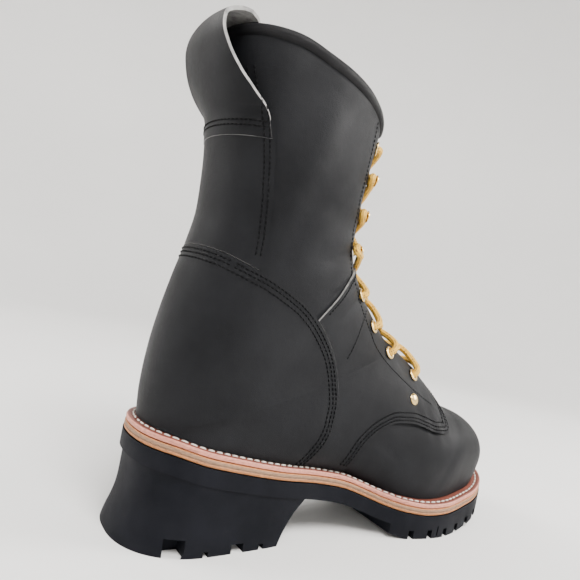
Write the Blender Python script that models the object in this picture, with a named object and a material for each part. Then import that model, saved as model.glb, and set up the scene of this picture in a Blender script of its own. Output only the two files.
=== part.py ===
"""Logger boot for the right foot: a lugged rubber sole with a high block heel, a welted leather
upper nine inches tall, and brass lace hardware.  Metres, +X to the toe, +Y to the inner side of
the foot, +Z up.  The origin is at the bottom centre of the boot's bounding box."""
from math import cos, pi, radians, sin

import bmesh
import bpy
import numpy as np
from mathutils import Matrix, Vector

# Sole
SOLE_LENGTH = 0.300
BALL_WIDTH = 0.108
HEEL_HEIGHT = 0.0545
SOLE_THICKNESS = 0.0158
TOE_SPRING = 0.0130
ARCH_THICKNESS = 0.0098
LUG_DEPTH = 0.0060
LUG_GROOVE = 0.0042
LUG_LENGTH = 0.0200
LUG_ANGLE = 12
CUT_OVER = 0.0030
NOTCH_REACH = 0.0110
HEEL_FLARE = 0.0030
HEEL_SIDE = 0.50
HEEL_BREAST = 0.0890
BREAST_LEAN = 0.0180
HEEL_WAIST = 0.0035
MIDSOLE = 0.0046
WELT = 0.0034
WELT_LEDGE = 0.0075
WELT_WIDTH = 0.0115
INSOLE = 0.0062
CLEARANCE = 0.0004
SKIN_GAP = 0.0005

# Upper
BOOT_HEIGHT = 0.290
WALL = 0.0023
OVERLAY = 0.0017
COUNTER = 0.0021
STRAP = 0.0021
COLLAR_ROLL = 0.0065
COLLAR_BULGE = 0.0016
THROAT_WIDTH = 0.0290
THROAT_FOOT = 0.2225
THROAT_DEPTH = 0.0160
THROAT_CLEAR = 0.0180
QUARTER_GAP = 0.0105
TONGUE_WIDTH = 0.0600
TONGUE_WALL = 0.0026
TONGUE_GAP = 0.0007
TONGUE_RISE = 0.0065
TONGUE_DEPTH = 0.0300
TONGUE_TUCK = 0.0120
SKIRT = 0.0120
LOOP_WALL = 0.0020
LOOP_STAND = 0.0135
LOOP_SEAT = 0.0019
LOOP_FLAT = 0.55
LOOP_CENTRE = 0.20
LOOP_SPREAD = 1.35

# Brass and lace
EYELET_SPACING = 0.0420
EYELET_RADIUS = 0.0046
EYELET_BORE = 0.0024
EYELET_HEIGHT = 0.0012
HOLE_RADIUS = 0.0028
HOOK_LENGTH = 0.0125
HOOK_WIDTH = 0.0065
HOOK_REACH = 0.0062
HOOK_METAL = 0.0010
HOOK_SEAT = 0.0007
RIVET_RADIUS = 0.0042
RIVET_HEIGHT = 0.0016
LACE_RADIUS = 0.0023
LACE_STAND = 0.0022
LACE_REACH = 0.0118
LACE_STEPS = 4
LACE_SIDES = 6
LACE_LIFT = 0.0017

# Fineness
FORM_ROWS = 29
SHAFT_SHARE = 0.42
REAR_STEPS = 6
FRONT_STEPS = 6
PLAN_STEPS = 30
LINE_STEP = 0.0080
HEEL_STEPS = 10
CHANNEL_STEPS = 14

# Plan of the sole: share of the length, then each side's half width as a share of the ball width
PLAN_COLUMNS = ("along", "outer", "inner", "swing")
SOLE_PLAN = (
    (0.000, 0.400, 0.390, 0.000),
    (0.130, 0.392, 0.380, 0.000),
    (0.267, 0.370, 0.325, 0.000),
    (0.400, 0.322, 0.262, 0.000),
    (0.500, 0.345, 0.290, 0.000),
    (0.630, 0.474, 0.385, 0.006),
    (0.730, 0.512, 0.440, 0.017),
    (0.850, 0.480, 0.450, 0.048),
    (0.930, 0.480, 0.440, 0.065),
    (1.000, 0.480, 0.440, 0.074),
)
HEEL_ROUND = (0.140, 2.2)
TOE_ROUND = (0.200, 2.4)

# Side view of the sole's top: share of the heel's rise and of the toe spring
SIDE_COLUMNS = ("along", "heel", "spring")
SOLE_SIDE = (
    (0.000, 1.000, 0.000),
    (0.045, 0.975, 0.000),
    (0.120, 0.850, 0.000),
    (0.277, 0.615, 0.000),
    (0.380, 0.495, 0.000),
    (0.457, 0.400, 0.000),
    (0.515, 0.265, 0.000),
    (0.560, 0.155, 0.000),
    (0.617, 0.060, 0.000),
    (0.690, 0.000, 0.000),
    (0.760, 0.000, 0.030),
    (0.850, 0.000, 0.230),
    (0.930, 0.000, 0.610),
    (1.000, 0.000, 1.050),
)

# Underside of the forefoot: share of the length, and of the toe spring
TREAD_COLUMNS = ("along", "lift")
TREAD_SIDE = (
    (0.585, 0.260),
    (0.640, 0.000),
    (0.785, 0.000),
    (0.855, 0.210),
    (0.930, 0.620),
    (1.000, 1.150),
)

# Levels of the heel: share of its height, of the flare outwards, of the waist inwards and of the
# breast's lean
HEEL_COLUMNS = ("level", "flare", "waist", "breast")
HEEL_LEVELS = (
    (0.00, 1.00, 0.00, 0.00),
    (0.25, 0.00, 0.00, 0.25),
    (0.55, 0.00, 0.60, 0.62),
    (0.80, 0.00, 0.70, 1.00),
    (1.00, 0.00, 0.12, 1.25),
)

# Notches of the heel's edge: shares of the sole's length, of the breast's place and of the heel's height
NOTCH_COLUMNS = ("along", "width", "height")
HEEL_NOTCHES = (
    (0.078, 0.124, 0.175),
    (0.203, 0.090, 0.092),
    (0.137, 0.034, 0.055),
    (0.257, 0.034, 0.055),
)

# Grooves of the forefoot, as shares of the sole's length
SIDE_GROOVES = (0.645, 0.700, 0.755, 0.810, 0.862, 0.908)
CENTRE_GROOVES = (0.675, 0.757, 0.835)
CHANNEL_START = 0.625

# Sections of the shaft, from above the collar down the back: heights are shares of the boot's
# height, fore and aft places of the sole's length, half widths of the ball width
SHAFT_COLUMNS = ("rear", "rear_rise", "front", "front_rise", "half", "at")
SHAFT_ROWS = (
    (0.033, 1.080, 0.432, 1.080, 0.402, 0.45),
    (0.038, 1.000, 0.428, 1.000, 0.405, 0.45),
    (0.044, 0.930, 0.422, 0.924, 0.416, 0.44),
    (0.054, 0.828, 0.413, 0.821, 0.423, 0.43),
    (0.065, 0.731, 0.408, 0.728, 0.414, 0.43),
    (0.068, 0.655, 0.412, 0.655, 0.401, 0.42),
    (0.058, 0.579, 0.428, 0.600, 0.390, 0.40),
    (0.044, 0.510, 0.457, 0.556, 0.380, 0.36),
    (0.031, 0.431, 0.492, 0.520, 0.371, 0.31),
    (0.023, 0.352, 0.527, 0.486, 0.362, 0.27),
    (0.021, 0.283, 0.560, 0.456, 0.353, 0.25),
)

# Sections of the foot, from the heel to the toe, each standing on the welt at a share of the length
FOOT_COLUMNS = ("foot", "front", "front_rise", "outer", "inner", "at")
FOOT_ROWS = (
    (0.0250, 0.590, 0.443, 0.348, 0.340, 0.24),
    (0.0300, 0.595, 0.440, 0.348, 0.339, 0.24),
    (0.0430, 0.603, 0.435, 0.347, 0.337, 0.24),
    (0.0670, 0.615, 0.428, 0.346, 0.335, 0.25),
    (0.1000, 0.628, 0.421, 0.346, 0.332, 0.26),
    (0.1500, 0.645, 0.411, 0.345, 0.324, 0.28),
    (0.2170, 0.664, 0.400, 0.343, 0.314, 0.29),
    (0.2830, 0.684, 0.387, 0.343, 0.306, 0.30),
    (0.3500, 0.702, 0.372, 0.346, 0.304, 0.30),
    (0.4170, 0.722, 0.357, 0.357, 0.310, 0.30),
    (0.4830, 0.742, 0.340, 0.380, 0.328, 0.30),
    (0.5500, 0.765, 0.318, 0.412, 0.356, 0.30),
    (0.6170, 0.790, 0.302, 0.438, 0.384, 0.31),
    (0.6770, 0.815, 0.294, 0.447, 0.405, 0.33),
    (0.7330, 0.842, 0.290, 0.440, 0.412, 0.35),
    (0.7870, 0.868, 0.285, 0.410, 0.405, 0.37),
    (0.8330, 0.896, 0.278, 0.380, 0.380, 0.38),
    (0.8730, 0.922, 0.266, 0.340, 0.340, 0.38),
    (0.9070, 0.944, 0.249, 0.280, 0.280, 0.36),
    (0.9330, 0.960, 0.227, 0.200, 0.200, 0.34),
    (0.9530, 0.969, 0.202, 0.150, 0.150, 0.32),
    (0.9660, 0.973, 0.178, 0.080, 0.080, 0.30),
    (0.9740, 0.9745, 0.155, 0.000, 0.000, 0.30),
)

# The collar's line in side view: share of the sole's length, share of the boot's height
COLLAR_LINE = (
    (-0.050, 0.977),
    (0.060, 0.977),
    (0.120, 0.972),
    (0.190, 0.956),
    (0.270, 0.940),
    (0.340, 0.925),
    (0.400, 0.900),
    (0.440, 0.880),
    (0.500, 0.845),
)

# Edges in side view, shares of the sole's length and of the boot's height
COUNTER_EDGE = (
    (-0.10, 0.575), (0.045, 0.575), (0.073, 0.570), (0.123, 0.552), (0.160, 0.540), (0.200, 0.524),
    (0.247, 0.503), (0.287, 0.476), (0.325, 0.441), (0.357, 0.398), (0.377, 0.350), (0.386, 0.297),
    (0.384, 0.250), (0.374, 0.215), (0.355, 0.180), (0.335, 0.140), (0.320, 0.090),
)
STRAP_EDGE = (
    (0.143, 0.500), (0.143, 0.600), (0.139, 0.665), (0.133, 0.710), (0.127, 0.750), (0.119, 0.790),
    (0.111, 0.822),
)
CROSS_SEAM = (
    (0.230, 0.400), (0.282, 0.460), (0.312, 0.497), (0.345, 0.535), (0.380, 0.575), (0.440, 0.622),
    (0.520, 0.680),
)
VAMP_EDGE = (
    (0.445, 0.060), (0.455, 0.150), (0.470, 0.200), (0.500, 0.235), (0.535, 0.256), (0.575, 0.268),
    (0.620, 0.268), (0.660, 0.260), (0.700, 0.250), (0.735, 0.248), (0.752, 0.256), (0.758, 0.285),
    (0.762, 0.330), (0.775, 0.420),
)

# Loop at the back: height as a share of the boot's height, stand off the shaft as a share of
# the loop's stand, half width as a share of the ball width
LOOP_COLUMNS = ("rise", "stand", "half")
LOOP_PATH = (
    (0.790, 0.135, 0.335),
    (0.822, 0.140, 0.325),
    (0.842, 0.200, 0.322),
    (0.866, 0.420, 0.316),
    (0.895, 0.680, 0.295),
    (0.930, 0.900, 0.262),
    (0.962, 1.000, 0.232),
    (0.988, 0.930, 0.212),
    (1.006, 0.650, 0.200),
    (1.016, 0.200, 0.196),
    (1.016, -0.300, 0.196),
    (1.006, -0.560, 0.196),
    (0.985, -0.560, 0.196),
    (0.950, -0.430, 0.196),
    (0.905, -0.360, 0.196),
)

# Places along the front line, as shares of its length from the collar to the throat's foot
TOP_EYELET = 0.020
HOOKS = (0.122, 0.238, 0.350)
EYELETS = (0.500, 0.620, 0.745, 0.880)
RIVET = 0.935
RIVET_SPREAD = 0.0300

COLLECTION = []


def column(table, columns, name):
    """Return one named column of a table as an array."""
    return np.array([row[columns.index(name)] for row in table])


def smooth(places, values, at):
    """Interpolate with a monotone cubic, so that no value overshoots its table."""
    x, y, at = np.asarray(places, float), np.asarray(values, float), np.asarray(at, float)
    step, rise = np.diff(x), np.diff(y)
    slope = rise / step
    tangent = np.zeros(len(x))
    tangent[0], tangent[-1] = slope[0], slope[-1]
    for i in range(1, len(x) - 1):
        if slope[i - 1] * slope[i] > 0:
            before, after = 2 * step[i] + step[i - 1], step[i] + 2 * step[i - 1]
            tangent[i] = (before + after) / (before / slope[i - 1] + after / slope[i])
    i = np.clip(np.searchsorted(x, at, side="right") - 1, 0, len(step) - 1)
    t = np.clip((at - x[i]) / step[i], 0, 1)
    return (y[i] * (1 + 2 * t) * (1 - t) ** 2 + step[i] * tangent[i] * t * (1 - t) ** 2
            + y[i + 1] * t * t * (3 - 2 * t) + step[i] * tangent[i + 1] * t * t * (t - 1))


def sole_top(x):
    """Return the height of the rubber's top face at a place along the sole."""
    at = np.asarray(x) / SOLE_LENGTH
    along = column(SOLE_SIDE, SIDE_COLUMNS, "along")
    heel = smooth(along, column(SOLE_SIDE, SIDE_COLUMNS, "heel"), at)
    spring = smooth(along, column(SOLE_SIDE, SIDE_COLUMNS, "spring"), at)
    return SOLE_THICKNESS + heel * (HEEL_HEIGHT - SOLE_THICKNESS) + spring * TOE_SPRING


def tread_bottom(x):
    """Return the height of the forefoot's walking face."""
    at = np.asarray(x) / SOLE_LENGTH
    along = column(TREAD_SIDE, TREAD_COLUMNS, "along")
    return TOE_SPRING * smooth(along, column(TREAD_SIDE, TREAD_COLUMNS, "lift"), at)


def feather(x):
    """Return the height that the upper stands at, just above the welt."""
    return sole_top(x) + MIDSOLE + WELT + 3 * CLEARANCE


def swing(x):
    """Return how far the foot's middle line bends inwards."""
    along = column(SOLE_PLAN, PLAN_COLUMNS, "along")
    return BALL_WIDTH * smooth(along, column(SOLE_PLAN, PLAN_COLUMNS, "swing"), np.asarray(x) / SOLE_LENGTH)


def half_plan(x, side, inset):
    """Return the sole's half width on a side, measured from the middle line, inside an inset."""
    x = np.asarray(x, float)
    along = column(SOLE_PLAN, PLAN_COLUMNS, "along")
    half = BALL_WIDTH * smooth(along, column(SOLE_PLAN, PLAN_COLUMNS, side), x / SOLE_LENGTH) - inset
    heel_length = HEEL_ROUND[0] * SOLE_LENGTH - inset
    toe_length = TOE_ROUND[0] * SOLE_LENGTH - inset
    into_heel = np.clip((heel_length + inset - x) / heel_length, 0, 1)
    into_toe = np.clip((x - SOLE_LENGTH + inset + toe_length) / toe_length, 0, 1)
    half = half * (1 - into_heel ** HEEL_ROUND[1]) ** (1 / HEEL_ROUND[1])
    return half * (1 - into_toe ** TOE_ROUND[1]) ** (1 / TOE_ROUND[1])


def plan_places(start, end, steps=PLAN_STEPS):
    """Return places along the sole, closer together at the round ends."""
    turn = np.linspace(0, pi, steps + 1)
    return start + (end - start) * (1 - np.cos(turn)) / 2


def section_table():
    """Return all sections of the upper as rows of lengths, the shaft's first."""
    rows = []
    for values in SHAFT_ROWS:
        row = dict(zip(SHAFT_COLUMNS, values))
        half = row["half"] * BALL_WIDTH
        rows.append((row["rear"] * SOLE_LENGTH, row["rear_rise"] * BOOT_HEIGHT, row["front"] * SOLE_LENGTH,
                     row["front_rise"] * BOOT_HEIGHT, half, half, row["at"]))
    for values in FOOT_ROWS:
        row = dict(zip(FOOT_COLUMNS, values))
        rows.append((row["foot"] * SOLE_LENGTH, 0.0, row["front"] * SOLE_LENGTH,
                     row["front_rise"] * BOOT_HEIGHT, row["outer"] * BALL_WIDTH, row["inner"] * BALL_WIDTH,
                     row["at"]))
    return np.array(rows)


SECTIONS = section_table()
LAST_SHAFT = len(SHAFT_ROWS)
HEEL_ROW = LAST_SHAFT
TOE_ROW = len(SECTIONS) - 1


def section(place):
    """Return one section of the upper, at a place counted in rows of the tables."""
    index = np.arange(len(SECTIONS))
    values = [float(smooth(index, SECTIONS[:, k], place)) for k in range(SECTIONS.shape[1])]
    rear, rear_rise, front, front_rise, outer, inner, at = values
    standing = place >= HEEL_ROW
    toe_x = SOLE_LENGTH - WELT_LEDGE
    rear = min(rear, toe_x)
    if standing:
        rear_rise = float(feather(rear))
    elif place > LAST_SHAFT - 1:
        share = place - (LAST_SHAFT - 1)
        top_rise = SHAFT_ROWS[-1][1] * BOOT_HEIGHT
        heel_x = FOOT_ROWS[0][0] * SOLE_LENGTH
        rear_rise = top_rise + share * (float(feather(heel_x)) - top_rise)
    ends = {}
    for side, half in (("outer", outer), ("inner", inner)):
        end = float(half_plan(rear, side, WELT_LEDGE)) if standing else 0.0
        if place <= HEEL_ROW:
            end = 0.0
        ends[side] = (max(half, end * 1.02), end)
    middle = float(swing(0.5 * (rear + front)))
    if place >= TOE_ROW - 1e-6:
        ends = {"outer": (0.0, 0.0), "inner": (0.0, 0.0)}
    return {"rear": (rear, rear_rise), "front": (front, front_rise), "at": at, "middle": middle,
            "outer": ends["outer"], "inner": ends["inner"], "standing": standing}


def roundness(place):
    """Return the exponents of a section's rear and front lobes."""
    shares = (0, 6, HEEL_ROW, HEEL_ROW + 10, TOE_ROW)
    rear = smooth(shares, (2.0, 2.0, 2.1, 2.0, 2.0), place)
    front = smooth(shares, (2.0, 2.0, 2.4, 2.3, 2.25), place)
    return float(rear), float(front)


def lobe_point(cut, side, across, along):
    """Return a point of a section from its half width and its share of the way to the front."""
    (rear_x, rear_z), (front_x, front_z) = cut["rear"], cut["front"]
    sign = -1 if side == "outer" else 1
    return (rear_x + along * (front_x - rear_x), cut["middle"] + sign * across,
            rear_z + along * (front_z - rear_z))


def section_side(place, side):
    """Return one side of a section, from its rear or bottom end to its front middle: each point
    with the section's own outward direction there."""
    cut = section(place)
    half, end = cut[side]
    if half == 0:
        return [(lobe_point(cut, side, 0.0, 0.0), Vector((1, 0, 0)))] * (REAR_STEPS + FRONT_STEPS + 1)
    rear_power, front_power = roundness(place)
    at = cut["at"]
    chord = Vector((cut["front"][0] - cut["rear"][0], 0, cut["front"][1] - cut["rear"][1]))
    sideways = Vector((0, -1 if side == "outer" else 1, 0))
    last_turn = np.arccos(min(end / half, 0.999) ** (rear_power / 2))
    reach = at / sin(last_turn) ** (2 / rear_power)
    points = []
    for k in range(REAR_STEPS):
        turn = last_turn * (1 - k / REAR_STEPS)
        across, along = half * cos(turn) ** (2 / rear_power), at - reach * sin(turn) ** (2 / rear_power)
        out = sideways * (cos(turn) ** (2 - 2 / rear_power) / half)
        out -= chord.normalized() * (sin(turn) ** (2 - 2 / rear_power) / (reach * chord.length))
        points.append((across, along, out))
    for k in range(FRONT_STEPS + 1):
        turn = pi / 2 * k / FRONT_STEPS
        level = max(cos(turn), 0.0)
        across, along = half * level ** (2 / front_power), at + (1 - at) * sin(turn) ** (2 / front_power)
        out = sideways * (level ** (2 - 2 / front_power) / half)
        out += chord.normalized() * (sin(turn) ** (2 - 2 / front_power) / ((1 - at) * chord.length))
        points.append((across, along, out))
    points[0] = (end, 0.0, points[0][2])
    points[-1] = (0.0, 1.0, chord.normalized())
    return [(lobe_point(cut, side, across, along), out.normalized()) for across, along, out in points]


def on_front(place, across, side):
    """Return the point of a section's front lobe at a distance from the middle line."""
    cut = section(place)
    half = cut[side][0]
    power = roundness(place)[1]
    share = min(max(across / half, 0.0), 1.0)
    along = cut["at"] + (1 - cut["at"]) * (1 - share ** power) ** (1 / power)
    return np.array(lobe_point(cut, side, across, along))


def on_rear(place, across, side):
    """Return the point of a shaft section's rear lobe at a distance from the middle line."""
    cut = section(place)
    half = cut[side][0]
    power = roundness(place)[0]
    share = min(max(across / half, 0.0), 1.0)
    along = cut["at"] * (1 - (1 - share ** power) ** (1 / power))
    return np.array(lobe_point(cut, side, across, along))


def form_places():
    """Return the places of the rows, closer where the form turns at the heel and the toe."""
    shaft = np.linspace(0, HEEL_ROW, int(FORM_ROWS * SHAFT_SHARE))
    foot = np.linspace(HEEL_ROW, TOE_ROW, int(FORM_ROWS * (1 - SHAFT_SHARE)) + 1)
    return list(shaft) + list(foot[1:])


def form_surface(rise=0.0, depth=SKIRT):
    """Build the upper's outer surface without its ends.  Return the mesh, its top edge, its skirt,
    and each vertex's outward direction in its section, with the share of the surface's own normal
    that its offset takes instead, which grows to the whole at the toe."""
    mesh = bmesh.new()
    rows = []
    ways = {}
    for place in form_places():
        outer = section_side(place, "outer")
        inner = section_side(place, "inner")
        share = min(max((place - HEEL_ROW - 5) / 5, 0.0), 1.0)
        if place >= TOE_ROW - 1e-6:
            tip = mesh.verts.new(outer[0][0])
            ways[tip] = (outer[0][1], share)
            rows.append(([tip] * (len(outer) + len(inner) - 1), True))
            continue
        ring = outer + inner[-2::-1]
        closed = place <= HEEL_ROW
        verts = []
        for point, out in (ring[:-1] if closed else ring):
            verts.append(mesh.verts.new(point))
            ways[verts[-1]] = (out, share)
        if closed:
            verts.append(verts[0])
        rows.append((verts, place >= HEEL_ROW))
    skirt = []
    for verts, standing in rows:
        if standing:
            pair = []
            for end in (verts[0], verts[-1]):
                same = pair and verts[0] is verts[-1]
                pair.append(pair[0] if same else mesh.verts.new(end.co - Vector((0, 0, depth))))
            skirt.append((verts[0], verts[-1], pair[0], pair[1]))
    for (upper_row, _), (lower_row, _) in zip(rows, rows[1:]):
        for k in range(len(upper_row) - 1):
            add_face(mesh, [upper_row[k], upper_row[k + 1], lower_row[k + 1]])
            add_face(mesh, [upper_row[k], lower_row[k + 1], lower_row[k]])
    for before, after in zip(skirt, skirt[1:]):
        add_face(mesh, [before[0], after[0], after[2], before[2]])
        add_face(mesh, [after[1], before[1], before[3], after[3]])
    mesh.normal_update()
    for vert in rows[0][0][:-1]:
        vert.co.z += rise
    return mesh, rows[0][0][:-1], skirt, ways


def add_face(mesh, corners):
    """Add a face, leaving out corners that are the same vertex."""
    kept = []
    for vert in corners:
        if vert not in kept:
            kept.append(vert)
    if len(kept) > 2:
        mesh.faces.new(kept)


def form_solid(name, offset, longer=0.0):
    """Return the closed form of the upper, grown or shrunk by an offset along its normals."""
    mesh, top, skirt, ways = form_surface(longer, SKIRT + longer)
    bmesh.ops.recalc_face_normals(mesh, faces=mesh.faces)
    mesh.normal_update()
    mesh.verts.ensure_lookup_table()
    outward = 1.0 if mesh.verts[0].normal.x < 0 else -1.0
    moves = {vert: way.lerp(vert.normal * outward, share) * offset for vert, (way, share) in ways.items()}
    for vert, move in moves.items():
        if vert in top:
            move.z = 0
        vert.co += move
    for pair in skirt:
        for upper_end, lower_end in ((pair[0], pair[2]), (pair[1], pair[3])):
            lower_end.co.x, lower_end.co.y = upper_end.co.x, upper_end.co.y
    mesh.faces.new(top)
    for before, after in zip(skirt, skirt[1:]):
        add_face(mesh, [before[2], after[2], after[3], before[3]])
    bmesh.ops.recalc_face_normals(mesh, faces=mesh.faces)
    return new_object(name, mesh)


def new_object(name, mesh, material=None):
    """Make an object of a bmesh, link it and give it its material."""
    data = bpy.data.meshes.new(name)
    mesh.to_mesh(data)
    mesh.free()
    piece = bpy.data.objects.new(name, data)
    bpy.context.scene.collection.objects.link(piece)
    if material:
        data.materials.append(material)
    return piece


def make_material(name, color, roughness, metallic=0.0):
    """Make a plain principled material."""
    material = bpy.data.materials.new(name)
    material.use_nodes = True
    shader = material.node_tree.nodes["Principled BSDF"]
    shader.inputs["Base Color"].default_value = (*color, 1.0)
    shader.inputs["Roughness"].default_value = roughness
    shader.inputs["Metallic"].default_value = metallic
    return material


def slab(name, outline, bottom, top, hole=None):
    """Make a closed plate from plan outlines, with its bottom and top heights as functions of x."""
    mesh = bmesh.new()
    loops = [outline] if hole is None else [outline, hole]
    rings = []
    for loop in loops:
        low = [mesh.verts.new((x, y, float(bottom(x)))) for x, y in loop]
        high = [mesh.verts.new((x, y, float(top(x)))) for x, y in loop]
        rings.append((low, high))
    count = len(outline)
    for low, high in rings:
        for k in range(count):
            n = (k + 1) % count
            add_face(mesh, [low[k], low[n], high[n], high[k]])
    if hole is None:
        for ring in rings[0]:
            half = count // 2
            for k in range(half):
                add_face(mesh, [ring[k], ring[k + 1], ring[(count - k - 1) % count], ring[(count - k) % count]])
    else:
        for (outer_ring, inner_ring) in zip(rings[0], rings[1]):
            for k in range(count):
                n = (k + 1) % count
                add_face(mesh, [outer_ring[k], outer_ring[n], inner_ring[n], inner_ring[k]])
    bmesh.ops.recalc_face_normals(mesh, faces=mesh.faces)
    return new_object(name, mesh)


def outline_of(inset, start=None, end=None, steps=PLAN_STEPS):
    """Return the plan outline inside an inset: out along the outer side and back along the inner."""
    first = inset if start is None else start
    last = SOLE_LENGTH - inset if end is None else end
    places = plan_places(first, last, steps)
    loop = []
    for x in places:
        loop.append((x, float(swing(x)) - float(half_plan(x, "outer", inset))))
    back = places[::-1] if last < SOLE_LENGTH - inset - 1e-9 else places[-2::-1]
    for x in (back if start is not None and start > inset else back[:-1]):
        loop.append((x, float(swing(x)) + float(half_plan(x, "inner", inset))))
    return loop


def combine(target, other, operation, solver="MANIFOLD"):
    """Cut, join or intersect an object with another, then remove the other.  The leather's thin
    skins and the tread's later cuts use the manifold solver, because the exact one loses them."""
    modifier = target.modifiers.new(operation.lower(), "BOOLEAN")
    modifier.operation = operation
    modifier.solver = solver
    modifier.object = other
    graph = bpy.context.evaluated_depsgraph_get()
    data = bpy.data.meshes.new_from_object(target.evaluated_get(graph))
    target.modifiers.clear()
    old = target.data
    target.data = data
    bpy.data.meshes.remove(old)
    drop(other)


def drop(piece):
    """Remove a helper object and its mesh."""
    data = piece.data
    bpy.data.objects.remove(piece)
    bpy.data.meshes.remove(data)


def tidy(piece, name, material, distance=0.000002, angle=35):
    """Weld an object's slivers, name it, shade it and give it its material."""
    mesh = bmesh.new()
    mesh.from_mesh(piece.data)
    bmesh.ops.remove_doubles(mesh, verts=mesh.verts, dist=distance)
    loose = [edge for edge in mesh.edges if not edge.link_faces]
    bmesh.ops.delete(mesh, geom=loose, context="EDGES")
    bmesh.ops.triangulate(mesh, faces=[face for face in mesh.faces if len(face.verts) > 4])
    mesh.to_mesh(piece.data)
    mesh.free()
    piece.name = name
    piece.data.name = name
    piece.data.materials.clear()
    piece.data.materials.append(material)
    piece.data.shade_smooth()
    piece.data.set_sharp_from_angle(angle=radians(angle))
    COLLECTION.append(piece)
    return piece


def prism(points, start, end):
    """Make a prism across the boot from a closed outline in side view."""
    mesh = bmesh.new()
    near = [mesh.verts.new((x, start, z)) for x, z in points]
    far = [mesh.verts.new((x, end, z)) for x, z in points]
    mesh.faces.new(near)
    mesh.faces.new(far)
    for k in range(len(points)):
        n = (k + 1) % len(points)
        mesh.faces.new([near[k], near[n], far[n], far[k]])
    bmesh.ops.recalc_face_normals(mesh, faces=mesh.faces)
    return new_object("prism", mesh)


def scaled(points, lift=0.0, shift=0.0):
    """Turn shares of length and height into places in side view, lifted or moved by a distance."""
    return [(x * SOLE_LENGTH + shift, z * BOOT_HEIGHT + lift) for x, z in points]


def cut_below_feather(piece, lift=0.0):
    """Cut away what reaches into the welt, or to a small height above it."""
    places = np.linspace(-0.03, SOLE_LENGTH + 0.03, 40)
    line = [(float(x), lift + float(feather(np.clip(x, 0, SOLE_LENGTH)))) for x in places]
    low = [(line[-1][0], -0.05), (line[0][0], -0.05)]
    combine(piece, prism(line + low, -BALL_WIDTH, BALL_WIDTH), "DIFFERENCE")


def collar_prism(lift, bottom):
    """Return the space above the collar's line, or a band of it."""
    line = scaled(COLLAR_LINE, lift)
    if bottom is None:
        far = [(line[-1][0], BOOT_HEIGHT * 1.4), (line[0][0], BOOT_HEIGHT * 1.4)]
    else:
        far = scaled(COLLAR_LINE, bottom)[::-1]
    return prism(line + far, -BALL_WIDTH, BALL_WIDTH)


def front_line(end_x):
    """Return the front middle line from above the collar down to a place along the sole."""
    points = []
    for place in np.linspace(0, TOE_ROW, 160):
        here = np.array(section(place)["front"])
        if here[0] > end_x and place > HEEL_ROW:
            break
        if not points or np.linalg.norm(here - points[-1]) > LINE_STEP:
            points.append(here)
    return points


def front_slab(end_x, width, inside, outside, bottom_y=0.0):
    """Return a band that follows the front line, a given width across."""
    line = np.array(front_line(end_x))
    direction = np.gradient(line, axis=0)
    direction /= np.linalg.norm(direction, axis=1)[:, None]
    normal = np.stack([-direction[:, 1], direction[:, 0]], axis=1)
    out = [tuple(point) for point in line + outside * normal]
    back = [tuple(point) for point in (line - inside * normal)[::-1]]
    return prism(out + back, bottom_y - width / 2, bottom_y + width / 2), line[-1], normal[-1]


def cylinder_between(start, end, radius, sides=20):
    """Make a closed cylinder between two points."""
    start, end = Vector(start), Vector(end)
    axis = end - start
    mesh = bmesh.new()
    turn = axis.to_track_quat("Z", "Y").to_matrix().to_4x4()
    bmesh.ops.create_cone(mesh, cap_ends=True, segments=sides, radius1=radius, radius2=radius,
                          depth=axis.length, matrix=Matrix.Translation((start + end) / 2) @ turn)
    return new_object("cylinder", mesh)


def cut_throat(piece):
    """Cut the throat: a slot down the front with a round foot."""
    slot, foot, normal = front_slab(THROAT_FOOT - THROAT_WIDTH / 2, THROAT_WIDTH, THROAT_DEPTH,
                                    THROAT_CLEAR)
    combine(piece, slot, "DIFFERENCE")
    middle = float(swing(foot[0])) * 0.5
    base = Vector((foot[0], middle, foot[1]))
    out = Vector((normal[0], 0, normal[1]))
    round_foot = cylinder_between(base - out * THROAT_DEPTH, base + out * THROAT_CLEAR, THROAT_WIDTH / 2)
    combine(piece, round_foot, "DIFFERENCE")


def front_places():
    """Return the length along the front line for places from the collar to the throat's foot."""
    places = np.linspace(0, TOE_ROW, 400)
    line = np.array([section(place)["front"] for place in places])
    collar_z = np.interp(line[:, 0], *np.array(scaled(COLLAR_LINE)).T)
    start = int(np.argmax(line[:, 1] < collar_z))
    stop = int(np.argmax(line[:, 0] > THROAT_FOOT))
    steps = np.concatenate([[0], np.cumsum(np.linalg.norm(np.diff(line[start:stop], axis=0), axis=1))])
    return places[start:stop], steps / steps[-1]


def lace_place(share):
    """Return the section row at a share of the front line."""
    places, shares = front_places()
    return float(np.interp(share, shares, places))


def frame_at(share, side, across=None):
    """Return a point of the facing with its outward normal and the direction down the front."""
    across = EYELET_SPACING / 2 if across is None else across
    place = lace_place(share)
    base = on_front(place, across, side)
    down = on_front(place + 0.15, across, side) - on_front(place - 0.15, across, side)
    over = on_front(place, across + 0.0015, side) - on_front(place, across - 0.0015, side)
    down /= np.linalg.norm(down)
    normal = np.cross(over, down)
    normal /= np.linalg.norm(normal)
    if normal[0] + normal[2] < 0:
        normal = -normal
    return base, normal, down


def placed(base, normal, down, lift):
    """Return the matrix that stands a small piece on the facing."""
    z_axis, x_axis = Vector(normal), Vector(down)
    y_axis = z_axis.cross(x_axis).normalized()
    x_axis = y_axis.cross(z_axis)
    turn = Matrix((x_axis, y_axis, z_axis)).transposed().to_4x4()
    return Matrix.Translation(Vector(base) + z_axis * lift) @ turn


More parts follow.
